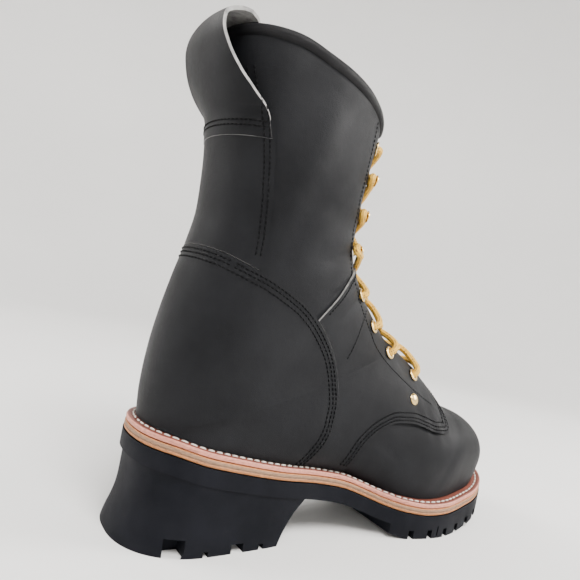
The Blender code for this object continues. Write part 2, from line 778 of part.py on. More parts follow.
def turned_ring(profile, matrix, sides):
    """Spin a closed profile of radius and height into a ring or, if it starts at zero, a disc."""
    mesh = bmesh.new()
    rings = []
    for radius, height in profile:
        if radius == 0:
            rings.append([mesh.verts.new((0, 0, height))] * sides)
        else:
            rings.append([mesh.verts.new((radius * cos(2 * pi * k / sides), radius * sin(2 * pi * k / sides),
                                          height)) for k in range(sides)])
    closed = profile[0][0] > 0
    pairs = zip(rings, rings[1:] + rings[:1]) if closed else zip(rings, rings[1:])
    for before, after in pairs:
        for k in range(sides):
            n = (k + 1) % sides
            add_face(mesh, [before[k], before[n], after[n], after[k]])
    bmesh.ops.recalc_face_normals(mesh, faces=mesh.faces)
    bmesh.ops.transform(mesh, matrix=matrix, verts=mesh.verts)
    return new_object("ring", mesh)


def facing_lift(share):
    """Return the height of the leather's face above the form at a place of the facing."""
    return OVERLAY + SKIN_GAP if share > HOOKS[-1] else 0.0


def make_eyelet(name, share, side, material):
    """Make one eyelet's flange."""
    matrix = placed(*frame_at(share, side), facing_lift(share) + CLEARANCE)
    profile = ((EYELET_BORE, 0.0), (EYELET_RADIUS, 0.0), (EYELET_RADIUS - 0.0008, EYELET_HEIGHT),
               (EYELET_BORE, EYELET_HEIGHT * 0.8))
    tidy(turned_ring(profile, matrix, 10), name, material)


def make_hook(name, share, side, material):
    """Make one speed hook: a flat foot, a neck and a curled lip."""
    half_length, reach, metal = HOOK_LENGTH / 2, HOOK_REACH, HOOK_METAL
    outline = ((-half_length * 0.7, 0), (half_length, 0), (half_length, metal), (-half_length * 0.15, metal * 1.2),
               (-half_length * 0.30, reach * 0.55), (half_length * 0.15, reach * 0.72),
               (half_length * 0.85, reach * 0.78), (half_length * 1.0, reach),
               (0.0, reach), (-half_length * 0.65, reach * 0.75), (-half_length * 0.72, reach * 0.35))
    mesh = bmesh.new()
    inward = 1 if side == "outer" else -1
    near = [mesh.verts.new((-HOOK_WIDTH / 2, inward * -y, z)) for y, z in outline]
    far = [mesh.verts.new((HOOK_WIDTH / 2, inward * -y, z)) for y, z in outline]
    mesh.faces.new(near)
    mesh.faces.new(far)
    for k in range(len(outline)):
        n = (k + 1) % len(outline)
        mesh.faces.new([near[k], near[n], far[n], far[k]])
    bmesh.ops.recalc_face_normals(mesh, faces=mesh.faces)
    matrix = placed(*frame_at(share, side), facing_lift(share) + HOOK_SEAT)
    bmesh.ops.transform(mesh, matrix=matrix, verts=mesh.verts)
    tidy(new_object("hook", mesh), name, material)


def make_rivet(name, side, material):
    """Make the domed rivet at the throat's foot."""
    base, normal, down = frame_at(RIVET, side, RIVET_SPREAD)
    matrix = placed(base, normal, down, facing_lift(RIVET) + CLEARANCE)
    profile = ((0, 0), (RIVET_RADIUS, 0), (RIVET_RADIUS * 0.85, RIVET_HEIGHT * 0.6), (0, RIVET_HEIGHT))
    tidy(turned_ring(profile, matrix, 12), name, material)


def make_tube(points, radius, sides=LACE_SIDES):
    """Make a closed round tube along a list of points."""
    points = [Vector(point) for point in points]
    mesh = bmesh.new()
    rings = []
    up = Vector((0, 0, 1))
    for k, point in enumerate(points):
        before, after = points[max(k - 1, 0)], points[min(k + 1, len(points) - 1)]
        along = (after - before).normalized()
        across = along.cross(up).normalized()
        up = across.cross(along)
        rings.append([mesh.verts.new(point + radius * (across * cos(2 * pi * n / sides) + up * sin(2 * pi * n / sides)))
                      for n in range(sides)])
    for before, after in zip(rings, rings[1:]):
        for k in range(sides):
            n = (k + 1) % sides
            mesh.faces.new([before[k], before[n], after[n], after[k]])
    mesh.faces.new(rings[0])
    mesh.faces.new(rings[-1])
    bmesh.ops.recalc_face_normals(mesh, faces=mesh.faces)
    return new_object("tube", mesh)


def lace_rows():
    """Return the shares of the lace's rows, from the throat's foot up."""
    return EYELETS[::-1] + HOOKS[::-1] + (TOP_EYELET,)


def lace_hold(share, side):
    """Return where the lace's middle turns, just inside an eyelet or a hook."""
    base, normal, _ = frame_at(share, side, LACE_REACH)
    return base + normal * (facing_lift(share) + LACE_STAND + LACE_RADIUS)


def lace_crown(share, lift=0.0):
    """Return where the lace's middle passes over the tongue's ridge, lifted where it is on top."""
    base, normal, _ = frame_at(share, "outer", 0.002)
    crown = base + normal * (facing_lift(share) + LACE_STAND + LACE_RADIUS + lift)
    crown[1] = float(swing(base[0])) * 0.5
    return crown


def lace_run(start, end, crown):
    """Return a bowed run between two holds over the ridge, without its last point."""
    middle = 0.5 * (start + end)
    bow = crown - middle
    run = []
    for k in range(LACE_STEPS):
        share = k / LACE_STEPS
        run.append(start + share * (end - start) + bow * sin(pi * share))
    return run


def lace_points(side, lift):
    """Return one lace's way up the front, from side to side, lifted where it crosses the other."""
    rows = lace_rows()
    points = []
    for low, high in zip(rows, rows[1:]):
        other = "inner" if side == "outer" else "outer"
        points += lace_run(lace_hold(low, side), lace_hold(high, other), lace_crown(0.5 * (low + high), lift))
        side = other
    return points + [lace_hold(rows[-1], side)]


def build_lace(material):
    """Build the crossed lace as one solid, clear of the leather and the brass."""
    low = lace_rows()[0]
    bar = lace_run(lace_hold(low, "outer"), lace_hold(low, "inner"), lace_crown(low))
    first = make_tube(bar + lace_points("inner", 0.0), LACE_RADIUS)
    way = lace_points("outer", LACE_LIFT)
    way[0] = way[0] + (way[0] - way[1]) * 0.2
    combine(first, make_tube(way, LACE_RADIUS), "UNION")
    tidy(first, "laces", material)


def build_upper(material):
    """Build the hollow upper, open at the collar, the throat and underneath."""
    upper = form_solid("upper", 0.0)
    combine(upper, form_solid("inside", -WALL, 0.004), "DIFFERENCE")
    cut_below_feather(upper)
    combine(upper, collar_prism(0.0, None), "DIFFERENCE")
    cut_throat(upper)
    cut_eyelet_holes(upper, EYELETS + (TOP_EYELET,), ("outer", "inner"))
    return tidy(upper, "upper", material)


def cut_eyelet_holes(piece, shares, sides):
    """Cut the holes that the eyelets line, with one cutter."""
    mesh = bmesh.new()
    for side in sides:
        for share in shares:
            base, normal, _ = frame_at(share, side)
            turn = Vector(normal).to_track_quat("Z", "Y").to_matrix().to_4x4()
            bmesh.ops.create_cone(mesh, cap_ends=True, segments=8, radius1=HOLE_RADIUS, radius2=HOLE_RADIUS,
                                  depth=0.012, matrix=Matrix.Translation(Vector(base)) @ turn)
    combine(piece, new_object("holes", mesh), "DIFFERENCE")


def overlay_shell(name, thickness):
    """Return a closed skin of leather just outside the upper, with its underside cut at the welt."""
    skin = form_solid(name, SKIN_GAP + thickness)
    combine(skin, form_solid("inside", SKIN_GAP, 0.004), "DIFFERENCE")
    cut_below_feather(skin, SKIN_GAP)
    return skin


def build_counter(material):
    """Build the heel counter that wraps the back of the boot."""
    counter = overlay_shell("heel_counter", COUNTER)
    edge = scaled(COUNTER_EDGE)
    combine(counter, prism(edge + [(edge[0][0], edge[-1][1])], -BALL_WIDTH, BALL_WIDTH), "INTERSECT")
    return tidy(counter, "heel_counter", material)


def build_quarter(name, side, material):
    """Build one quarter: the raised leather from the counter to the throat and over the vamp."""
    quarter = overlay_shell(name, OVERLAY)
    middle = float(swing(THROAT_FOOT)) / 2
    limits = (-BALL_WIDTH, middle - QUARTER_GAP) if side == "outer" else (middle + QUARTER_GAP, BALL_WIDTH)
    seam = scaled(CROSS_SEAM)
    vamp = scaled(VAMP_EDGE)
    bottom = [(seam[0][0], vamp[0][1])]
    region = prism(seam + [(vamp[-1][0], seam[-1][1])] + vamp[::-1] + bottom, *limits)
    combine(quarter, region, "INTERSECT")
    edge = scaled(COUNTER_EDGE, CLEARANCE, 2 * CLEARANCE)
    combine(quarter, prism(edge + [(edge[0][0], -0.05)], -BALL_WIDTH, BALL_WIDTH), "DIFFERENCE")
    cut_throat(quarter)
    cut_eyelet_holes(quarter, EYELETS, (side,))
    return tidy(quarter, name, material)


def rear_at(height, across, side):
    """Return the shaft's rear surface at a height and a distance from the middle."""
    places = np.linspace(0, 6, 60)
    points = np.array([on_rear(place, across, side) for place in places])
    return float(np.interp(-height, -points[:, 2], points[:, 0]))


def build_backstay(material):
    """Build the wide strap up the back, whose top stands off as a pull loop over the collar."""
    strap = overlay_shell("backstay", STRAP)
    edge = scaled(STRAP_EDGE)
    top = LOOP_PATH[1][0] * BOOT_HEIGHT
    counter = scaled(COUNTER_EDGE, 2 * CLEARANCE)
    lower = [point for point in counter if point[0] < edge[0][0]]
    crest = int(np.argmax([x for x, _ in counter])) + 1
    reach = np.interp(edge[0][0], [x for x, _ in counter[:crest]], [z for _, z in counter[:crest]])
    lower = lower + [(edge[0][0], float(reach))]
    upper_edge = [point for point in edge if point[1] > reach]
    combine(strap, prism(lower + upper_edge + [(edge[-1][0], top), (lower[0][0], top)],
                         -BALL_WIDTH, BALL_WIDTH), "INTERSECT")
    combine(strap, build_loop(), "UNION")
    return tidy(strap, "backstay", material)


def surface_normals(grid):
    """Return the normals of a grid of points, pointing away from the boot at its back."""
    along = np.gradient(grid, axis=0)
    over = np.gradient(grid, axis=1)
    normal = np.cross(along, over)
    normal /= np.linalg.norm(normal, axis=2)[:, :, None]
    return -normal if normal[1, grid.shape[1] // 2, 0] > 0 else normal


def build_loop():
    """Return the loop's strip, from the shaft up over the collar and down inside."""
    rises = column(LOOP_PATH, LOOP_COLUMNS, "rise") * BOOT_HEIGHT
    stands = column(LOOP_PATH, LOOP_COLUMNS, "stand") * LOOP_STAND
    halves = column(LOOP_PATH, LOOP_COLUMNS, "half") * BALL_WIDTH
    index = np.arange(len(rises))
    places = np.linspace(0, len(rises) - 1, 18)
    rises, stands, halves = (smooth(index, values, places) for values in (rises, stands, halves))
    across = np.linspace(-1, 1, 9)
    grid = np.zeros((len(places), len(across), 3))
    seated = np.clip(stands, None, LOOP_SEAT)
    free = (stands - seated) / (LOOP_STAND - LOOP_SEAT)
    for row, (rise, half) in enumerate(zip(rises, halves)):
        for k, share in enumerate(across):
            side = "outer" if share < 0 else "inner"
            reach = abs(share) * half * (1 - LOOP_FLAT * max(free[row], 0.0))
            grid[row, k] = (rear_at(min(rise, BOOT_HEIGHT), reach, side), share * half, rise)
    turned = grid[:, :, :2] - np.array([SOLE_LENGTH * LOOP_CENTRE, 0.0])
    turned[:, :, 1] *= LOOP_SPREAD
    turned /= np.linalg.norm(turned, axis=2)[:, :, None]
    grid[:, :, :2] += turned * seated[:, None, None]
    grid[:, :, 0] -= (stands - seated)[:, None]
    normal = surface_normals(grid)
    mesh = bmesh.new()
    faces = []
    for shift in (-0.5, 0.5):
        skin = grid + normal * LOOP_WALL * shift
        faces.append([[mesh.verts.new(point) for point in line] for line in skin])
    last_row, last_column = len(places) - 1, len(across) - 1
    for skin in faces:
        for row in range(last_row):
            for k in range(last_column):
                mesh.faces.new([skin[row][k], skin[row][k + 1], skin[row + 1][k + 1], skin[row + 1][k]])
    inner, outer = faces
    for row in range(last_row):
        for k in (0, last_column):
            mesh.faces.new([inner[row][k], inner[row + 1][k], outer[row + 1][k], outer[row][k]])
    for k in range(last_column):
        for row in (0, last_row):
            mesh.faces.new([inner[row][k], inner[row][k + 1], outer[row][k + 1], outer[row][k]])
    bmesh.ops.recalc_face_normals(mesh, faces=mesh.faces)
    return new_object("loop", mesh)


def build_collar(material):
    """Build the padded roll on the shaft's top edge."""
    roll = form_solid("collar_roll", COLLAR_BULGE)
    combine(roll, form_solid("inside", -WALL, 0.004), "DIFFERENCE")
    combine(roll, collar_prism(CLEARANCE, COLLAR_ROLL), "INTERSECT")
    cut_throat(roll)
    return tidy(roll, "collar_roll", material)


def build_tongue(material):
    """Build the tongue behind the throat, from under the vamp up past the collar."""
    outer_skin = -WALL - TONGUE_GAP
    tongue = form_solid("tongue", outer_skin)
    combine(tongue, form_solid("inside", outer_skin - TONGUE_WALL, 0.004), "DIFFERENCE")
    combine(tongue, collar_prism(TONGUE_RISE, None), "DIFFERENCE")
    band, _, _ = front_slab(THROAT_FOOT + TONGUE_TUCK, TONGUE_WIDTH, TONGUE_DEPTH,
                            THROAT_CLEAR)
    combine(tongue, band, "INTERSECT")
    return tidy(tongue, "tongue", material)


def build_outsole(material):
    """Build the rubber unit: a plate, the block heel and the forefoot tread, with its lugs cut."""
    plate = slab("outsole", outline_of(0.0), lambda x: sole_top(x) - ARCH_THICKNESS, sole_top)
    combine(plate, heel_block(), "UNION", "EXACT")
    tread_start = TREAD_SIDE[0][0] * SOLE_LENGTH
    tread = slab("tread", outline_of(0.0, start=tread_start), tread_bottom,
                 lambda x: sole_top(x) - ARCH_THICKNESS / 2)
    combine(plate, tread, "UNION", "EXACT")
    combine(plate, side_grooves(), "DIFFERENCE", "EXACT")
    combine(plate, lug_channel(), "DIFFERENCE")
    combine(plate, centre_grooves(), "DIFFERENCE")
    combine(plate, heel_cutters(), "DIFFERENCE")
    return tidy(plate, "outsole", material, angle=30)


def heel_block():
    """Return the heel: a stack of outlines that narrows to a waist and flares to the floor."""
    round_length = HEEL_ROUND[0] * SOLE_LENGTH
    mesh = bmesh.new()
    rings = []
    for values in HEEL_LEVELS:
        level = dict(zip(HEEL_COLUMNS, values))
        back = level["flare"] * HEEL_FLARE - level["waist"] * HEEL_WAIST
        breast = HEEL_BREAST + level["breast"] * BREAST_LEAN
        turn = np.linspace(0, pi / 2, HEEL_STEPS)
        round_places = round_length * (1 - np.cos(turn))
        straight = np.linspace(round_length, breast, HEEL_STEPS)[1:]
        ring = []
        for side, sign in (("outer", -1), ("inner", 1)):
            line = []
            for x in np.concatenate([round_places, straight]):
                half = float(half_plan(x, side, 0.0))
                half += back * HEEL_SIDE if half > 0 else 0.0
                fade = max(1 - x / round_length, 0)
                line.append((x - back * fade, sign * half))
            ring.append(line)
        loop = ring[0] + ring[1][:0:-1]
        top = [float(sole_top(max(x, 0.0))) - ARCH_THICKNESS / 2 for x, _ in loop]
        rings.append([mesh.verts.new((x, y, level["level"] * z)) for (x, y), z in zip(loop, top)])
    count = len(rings[0])
    for before, after in zip(rings, rings[1:]):
        for k in range(count):
            n = (k + 1) % count
            mesh.faces.new([before[k], before[n], after[n], after[k]])
    for ring in (rings[0], rings[-1]):
        for k in range(count // 2):
            add_face(mesh, [ring[k], ring[k + 1], ring[(count - k - 1) % count], ring[(count - k) % count]])
    bmesh.ops.recalc_face_normals(mesh, faces=mesh.faces)
    return new_object("heel", mesh)


def box(mesh, centre, size, turn=0.0, lean=0.0):
    """Add a box to a mesh, turned about the vertical."""
    matrix = (Matrix.Translation(centre) @ Matrix.Rotation(turn, 4, "Z") @ Matrix.Rotation(lean, 4, "Y")
              @ Matrix.Diagonal((*size, 1.0)))
    bmesh.ops.create_cube(mesh, size=1.0, matrix=matrix)


def side_grooves():
    """Return the grooves that part the lugs of the forefoot's rim, open at its side."""
    mesh = bmesh.new()
    for along in SIDE_GROOVES:
        x = along * SOLE_LENGTH
        rise = float(tread_bottom(x)) + (LUG_DEPTH - CUT_OVER) / 2
        for side, sign in (("outer", -1), ("inner", 1)):
            edge = float(swing(x)) + sign * float(half_plan(x, side, 0.0))
            centre = (x, edge - sign * (LUG_LENGTH / 2 - CUT_OVER), rise)
            box(mesh, centre, (LUG_GROOVE, LUG_LENGTH, LUG_DEPTH + CUT_OVER), sign * radians(LUG_ANGLE))
    return new_object("grooves", mesh)


def lug_channel():
    """Return the channel that parts the rim's lugs from the middle ones, all round the forefoot."""
    start = CHANNEL_START * SOLE_LENGTH
    rim = outline_of(LUG_LENGTH - CUT_OVER, start, steps=CHANNEL_STEPS)
    island = outline_of(LUG_LENGTH - CUT_OVER + LUG_GROOVE, start + LUG_GROOVE, steps=CHANNEL_STEPS)
    return slab("channel", rim, lambda x: tread_bottom(x) - CUT_OVER,
                lambda x: tread_bottom(x) + LUG_DEPTH, island)


def centre_grooves():
    """Return the grooves across the middle of the forefoot."""
    mesh = bmesh.new()
    for along in CENTRE_GROOVES:
        x = along * SOLE_LENGTH
        rise = float(tread_bottom(x)) + (LUG_DEPTH - CUT_OVER) / 2
        width = 2 * (float(half_plan(x, "inner", 0.0)) - LUG_LENGTH + CUT_OVER) + LUG_GROOVE
        box(mesh, (x, float(swing(x)), rise), (LUG_GROOVE, width, LUG_DEPTH + CUT_OVER))
    return new_object("grooves", mesh)


def heel_cutters():
    """Return the notches in the heel's walking edge."""
    mesh = bmesh.new()
    for values in HEEL_NOTCHES:
        notch = dict(zip(NOTCH_COLUMNS, values))
        x = notch["along"] * SOLE_LENGTH
        width, height = notch["width"] * HEEL_BREAST, notch["height"] * HEEL_HEIGHT
        for side, sign in (("outer", -1), ("inner", 1)):
            edge = sign * float(half_plan(x, side, 0.0))
            centre = (x, edge - sign * (NOTCH_REACH / 2 - CUT_OVER), (height - CUT_OVER) / 2)
            box(mesh, centre, (width, NOTCH_REACH, height + CUT_OVER))
    return new_object("notches", mesh)


def welt_floor(x):
    """Return the height of the midsole's top, where the welt and the insole lie."""
    return sole_top(x) + 2 * CLEARANCE + MIDSOLE


def build_plates(leather, tan, footbed):
    """Build the midsole, the welt and the insole."""
    midsole = slab("midsole", outline_of(CLEARANCE), lambda x: sole_top(x) + CLEARANCE,
                   lambda x: sole_top(x) + CLEARANCE + MIDSOLE)
    tidy(midsole, "midsole", tan)
    welt = slab("welt", outline_of(1.5 * CLEARANCE), welt_floor, lambda x: welt_floor(x) + WELT,
                outline_of(WELT_WIDTH))
    tidy(welt, "welt", leather)
    insole = slab("insole", outline_of(WELT_WIDTH + CLEARANCE), welt_floor,
                  lambda x: welt_floor(x) + INSOLE)
    tidy(insole, "insole", footbed)


def build_hardware(brass):
    """Build the eyelets, the hooks and the rivets of both sides."""
    for side in ("outer", "inner"):
        for k, share in enumerate(EYELETS + (TOP_EYELET,)):
            make_eyelet(f"eyelet_{side}_{k + 1}", share, side, brass)
        for k, share in enumerate(HOOKS):
            make_hook(f"speed_hook_{side}_{k + 1}", share, side, brass)
        make_rivet(f"rivet_{side}", side, brass)


def centre_on_floor():
    """Move every piece so that the origin is at the bottom centre of the whole boot."""
    corners = np.array([tuple(vert.co) for piece in COLLECTION for vert in piece.data.vertices])
    low, high = corners.min(axis=0), corners.max(axis=0)
    shift = Vector((-(low[0] + high[0]) / 2, -(low[1] + high[1]) / 2, -low[2]))
    for piece in COLLECTION:
        piece.data.transform(Matrix.Translation(shift))


def main():
    """Build the boot."""
    for piece in list(bpy.data.objects):
        bpy.data.objects.remove(piece)
    rubber = make_material("rubber", (0.022, 0.024, 0.030), 0.62)
    tan = make_material("midsole_leather", (0.42, 0.24, 0.13), 0.70)
    welt = make_material("welt_leather", (0.36, 0.13, 0.09), 0.55)
    black = make_material("black_leather", (0.055, 0.057, 0.062), 0.48)
    footbed = make_material("footbed_leather", (0.40, 0.27, 0.16), 0.70)
    brass = make_material("brass", (0.80, 0.62, 0.28), 0.28, 1.0)
    cord = make_material("lace_cord", (0.62, 0.38, 0.05), 0.80)
    build_outsole(rubber)
    build_plates(welt, tan, footbed)
    build_upper(black)
    build_counter(black)
    build_quarter("quarter_outer", "outer", black)
    build_quarter("quarter_inner", "inner", black)
    build_backstay(black)
    build_collar(black)
    build_tongue(black)
    build_hardware(brass)
    build_lace(cord)
    centre_on_floor()


main()
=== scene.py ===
"""Looks of a logger boot for the right foot: oiled leather, stitched seams, layered sole, brass and lace."""
from __future__ import annotations

import logging
from dataclasses import dataclass
from enum import Enum
from functools import lru_cache
from math import cos, pi, radians, sin
from typing import Callable, Iterable, Sequence

import bmesh
import bpy
import numpy as np
from mathutils import Matrix, Vector
from mathutils.bvhtree import BVHTree

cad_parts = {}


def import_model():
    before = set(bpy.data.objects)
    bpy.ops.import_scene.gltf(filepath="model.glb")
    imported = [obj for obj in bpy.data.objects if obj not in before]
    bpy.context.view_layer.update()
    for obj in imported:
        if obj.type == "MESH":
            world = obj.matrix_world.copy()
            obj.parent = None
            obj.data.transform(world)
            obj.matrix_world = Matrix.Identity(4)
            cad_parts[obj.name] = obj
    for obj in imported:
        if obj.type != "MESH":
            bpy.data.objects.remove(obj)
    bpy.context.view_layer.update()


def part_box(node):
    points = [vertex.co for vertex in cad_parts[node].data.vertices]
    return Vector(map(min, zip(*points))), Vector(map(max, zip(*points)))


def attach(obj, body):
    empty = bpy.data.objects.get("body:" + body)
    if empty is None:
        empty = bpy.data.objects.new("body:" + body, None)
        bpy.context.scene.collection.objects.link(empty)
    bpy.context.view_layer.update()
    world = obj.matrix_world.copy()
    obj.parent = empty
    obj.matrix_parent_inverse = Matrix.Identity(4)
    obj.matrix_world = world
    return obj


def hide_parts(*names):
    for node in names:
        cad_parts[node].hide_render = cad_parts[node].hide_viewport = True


LOG = logging.getLogger("logger_boot")
MM = 0.001
MERGE = 1e-6
CUTTER_REACH = 0.12
Point = tuple[float, float]
Triple = tuple[float, float, float]
Colour = Triple
Route = tuple[np.ndarray, np.ndarray]
Box = tuple[Vector, Triple, float]
Node = bpy.types.Node
Piece = bpy.types.Object


class Side(Enum):
    """A side of the foot, by the sign of its Y."""

    OUTER = -1
    INNER = 1

    @property
    def word(self) -> str:
        """The side's word in a node's name."""
        return self.name.lower()


class Cut(Enum):
    """What a cutter does to a piece."""

    AWAY = "DIFFERENCE"
    KEEP = "INTERSECT"
    JOIN = "UNION"


def smooth(places: Sequence[float], values: Sequence[float], at: np.ndarray | float) -> np.ndarray:
    """Interpolate with a monotone cubic, so that no value overshoots its table.

    Args:
        places: the table's places, rising.
        values: the table's values.
        at: where to read it.

    Returns:
        The values there.
    """
    x, y, at = np.asarray(places, float), np.asarray(values, float), np.asarray(at, float)
    step, rise = np.diff(x), np.diff(y)
    slope = rise / step
    tangent = np.zeros(len(x))
    tangent[0], tangent[-1] = slope[0], slope[-1]
    for i in range(1, len(x) - 1):
        if slope[i - 1] * slope[i] > 0:
            before, after = 2 * step[i] + step[i - 1], step[i] + 2 * step[i - 1]
            tangent[i] = (before + after) / (before / slope[i - 1] + after / slope[i])
    i = np.clip(np.searchsorted(x, at, side="right") - 1, 0, len(step) - 1)
    t = np.clip((at - x[i]) / step[i], 0, 1)
    return (y[i] * (1 + 2 * t) * (1 - t) ** 2 + step[i] * tangent[i] * t * (1 - t) ** 2
            + y[i + 1] * t * t * (3 - 2 * t) + step[i] * tangent[i + 1] * t * t * (t - 1))


@dataclass(frozen=True)
class Sizes:
    """The boot's driving sizes, in metres, the same as the solids'."""

    sole_length: float = 0.300
    ball_width: float = 0.108
    boot_height: float = 0.290
    heel_height: float = 0.0545
    sole_thickness: float = 0.0158
    toe_spring: float = 0.0130
    arch_thickness: float = 0.0098
    lug_depth: float = 0.0060
    lug_groove: float = 0.0042
    lug_length: float = 0.0200
    heel_flare: float = 0.0030
    heel_side: float = 0.50
    heel_breast: float = 0.0890
    breast_lean: float = 0.0180
    heel_waist: float = 0.0035
    midsole: float = 0.0046
    welt: float = 0.0034
    welt_ledge: float = 0.0075
    clearance: float = 0.0004
    skin_gap: float = 0.0003
    wall: float = 0.0023
    overlay: float = 0.0017
    counter: float = 0.0021
    strap: float = 0.0021
    collar_roll: float = 0.0065
    throat_width: float = 0.0290
    throat_foot: float = 0.2225
    quarter_gap: float = 0.0105
    tongue_width: float = 0.0600
    tongue_wall: float = 0.0026
    tongue_gap: float = 0.0007
    tongue_rise: float = 0.0065
    tongue_tuck: float = 0.0120
    skirt: float = 0.0120
    loop_stand: float = 0.0135
    loop_seat: float = 0.0019
    loop_flat: float = 0.55
    eyelet_spacing: float = 0.0420
    lace_radius: float = 0.0023
    eyelet_hole: float = 0.0027
    hole_cutter: float = 0.0120
    overrun: float = 0.0040
    throat_inside: float = 0.0160
    throat_outside: float = 0.0180
    tongue_inside: float = 0.0300


SIZE = Sizes()

# Plan of the sole: share of the length, half widths as shares of the ball width, inward swing
SOLE_PLAN = (
    (0.000, 0.400, 0.390, 0.000), (0.130, 0.392, 0.380, 0.000), (0.267, 0.370, 0.325, 0.000),
    (0.400, 0.322, 0.262, 0.000), (0.500, 0.345, 0.290, 0.000), (0.630, 0.474, 0.385, 0.006),
    (0.730, 0.512, 0.440, 0.017), (0.850, 0.480, 0.450, 0.048), (0.930, 0.480, 0.440, 0.065),
    (1.000, 0.480, 0.440, 0.074),
)
HEEL_ROUND = (0.140, 2.2)
TOE_ROUND = (0.200, 2.4)

# Side view of the sole's top: share of the length, of the heel's rise and of the toe spring
SOLE_SIDE = (
    (0.000, 1.000, 0.000), (0.045, 0.975, 0.000), (0.120, 0.850, 0.000), (0.277, 0.615, 0.000),
    (0.380, 0.495, 0.000), (0.457, 0.400, 0.000), (0.515, 0.265, 0.000), (0.560, 0.155, 0.000),
    (0.617, 0.060, 0.000), (0.690, 0.000, 0.000), (0.760, 0.000, 0.030), (0.850, 0.000, 0.230),
    (0.930, 0.000, 0.610), (1.000, 0.000, 1.050),
)
# Walking face of the forefoot: share of the length and of the toe spring
TREAD_SIDE = (
    (0.585, 0.260), (0.640, 0.000), (0.785, 0.000), (0.855, 0.210), (0.930, 0.620), (1.000, 1.150),
)
# Levels of the heel: share of its height, flare outwards, waist inwards, lean of the breast
HEEL_LEVELS = (
    (0.00, 1.00, 0.00, 0.00), (0.10, 0.72, 0.05, 0.08), (0.25, 0.20, 0.20, 0.25), (0.40, 0.00, 0.45, 0.44),
    (0.55, 0.00, 0.60, 0.62), (0.80, 0.00, 0.60, 1.00), (1.00, 0.00, 0.12, 1.25),
)
# Notches of the heel's edge: place, width and height, shares of the length, the breast and the heel
HEEL_NOTCHES = (
    (0.078, 0.124, 0.175), (0.203, 0.090, 0.092), (0.137, 0.034, 0.055), (0.257, 0.034, 0.055),
)
SIDE_GROOVES = (0.645, 0.700, 0.755, 0.810, 0.862, 0.908)
CENTRE_GROOVES = (0.675, 0.757, 0.835)

# Sections of the shaft, from above the collar down the back: rear, its rise, front, its rise, half, at
SHAFT_ROWS = (
    (0.033, 1.080, 0.432, 1.080, 0.402, 0.45), (0.038, 1.000, 0.428, 1.000, 0.405, 0.45),
    (0.044, 0.930, 0.422, 0.924, 0.416, 0.44), (0.054, 0.828, 0.413, 0.821, 0.423, 0.43),
    (0.065, 0.731, 0.408, 0.728, 0.414, 0.43), (0.068, 0.655, 0.412, 0.655, 0.401, 0.42),
    (0.058, 0.579, 0.428, 0.600, 0.390, 0.40), (0.044, 0.510, 0.457, 0.556, 0.380, 0.36),
    (0.031, 0.431, 0.492, 0.520, 0.371, 0.31), (0.023, 0.352, 0.527, 0.486, 0.362, 0.27),
    (0.021, 0.283, 0.560, 0.456, 0.353, 0.25),
)
# Sections of the foot, each standing on the welt: foot, front, its rise, outer and inner half, at
FOOT_ROWS = (
    (0.0250, 0.590, 0.443, 0.348, 0.340, 0.24), (0.0300, 0.595, 0.440, 0.348, 0.339, 0.24),
    (0.0430, 0.603, 0.435, 0.347, 0.337, 0.24), (0.0670, 0.615, 0.428, 0.346, 0.335, 0.25),
    (0.1000, 0.628, 0.421, 0.346, 0.332, 0.26), (0.1500, 0.645, 0.411, 0.345, 0.324, 0.28),
    (0.2170, 0.664, 0.400, 0.343, 0.314, 0.29), (0.2830, 0.684, 0.387, 0.343, 0.306, 0.30),
    (0.3500, 0.702, 0.372, 0.346, 0.304, 0.30), (0.4170, 0.722, 0.357, 0.357, 0.310, 0.30),
    (0.4830, 0.742, 0.340, 0.380, 0.328, 0.30), (0.5500, 0.765, 0.318, 0.412, 0.356, 0.30),
    (0.6170, 0.790, 0.302, 0.438, 0.384, 0.31), (0.6770, 0.815, 0.294, 0.447, 0.405, 0.33),
    (0.7330, 0.842, 0.290, 0.440, 0.412, 0.35), (0.7870, 0.868, 0.285, 0.410, 0.405, 0.37),
    (0.8330, 0.896, 0.278, 0.380, 0.380, 0.38), (0.8730, 0.922, 0.266, 0.340, 0.340, 0.38),
    (0.9070, 0.944, 0.249, 0.280, 0.280, 0.36), (0.9330, 0.960, 0.227, 0.200, 0.200, 0.34),
    (0.9530, 0.969, 0.202, 0.150, 0.150, 0.32), (0.9660, 0.973, 0.178, 0.080, 0.080, 0.30),
    (0.9740, 0.9745, 0.155, 0.000, 0.000, 0.30),
)
# Lines in side view: shares of the sole's length and of the boot's height
COLLAR_LINE = (
    (-0.050, 0.977), (0.060, 0.977), (0.120, 0.972), (0.190, 0.956), (0.270, 0.940), (0.340, 0.925),
    (0.400, 0.900), (0.440, 0.880), (0.500, 0.845),
)
COUNTER_EDGE = (
    (-0.10, 0.575), (0.045, 0.575), (0.073, 0.570), (0.123, 0.552), (0.160, 0.540), (0.200, 0.524),
    (0.247, 0.503), (0.287, 0.476), (0.325, 0.441), (0.357, 0.398), (0.377, 0.350), (0.386, 0.297),
    (0.384, 0.250), (0.374, 0.215), (0.355, 0.180), (0.335, 0.140), (0.320, 0.090),
)
STRAP_EDGE = (
    (0.143, 0.500), (0.143, 0.600), (0.139, 0.665), (0.133, 0.710), (0.127, 0.750), (0.119, 0.790),
    (0.111, 0.822),
)
CROSS_SEAM = (
    (0.230, 0.400), (0.282, 0.460), (0.312, 0.497), (0.345, 0.535), (0.380, 0.575), (0.440, 0.622),
    (0.520, 0.680),
)
VAMP_EDGE = (
    (0.445, 0.060), (0.455, 0.150), (0.470, 0.200), (0.500, 0.235), (0.535, 0.256), (0.575, 0.268),
    (0.620, 0.268), (0.660, 0.260), (0.700, 0.250), (0.735, 0.248), (0.752, 0.256), (0.758, 0.285),
    (0.762, 0.330), (0.775, 0.420),
)
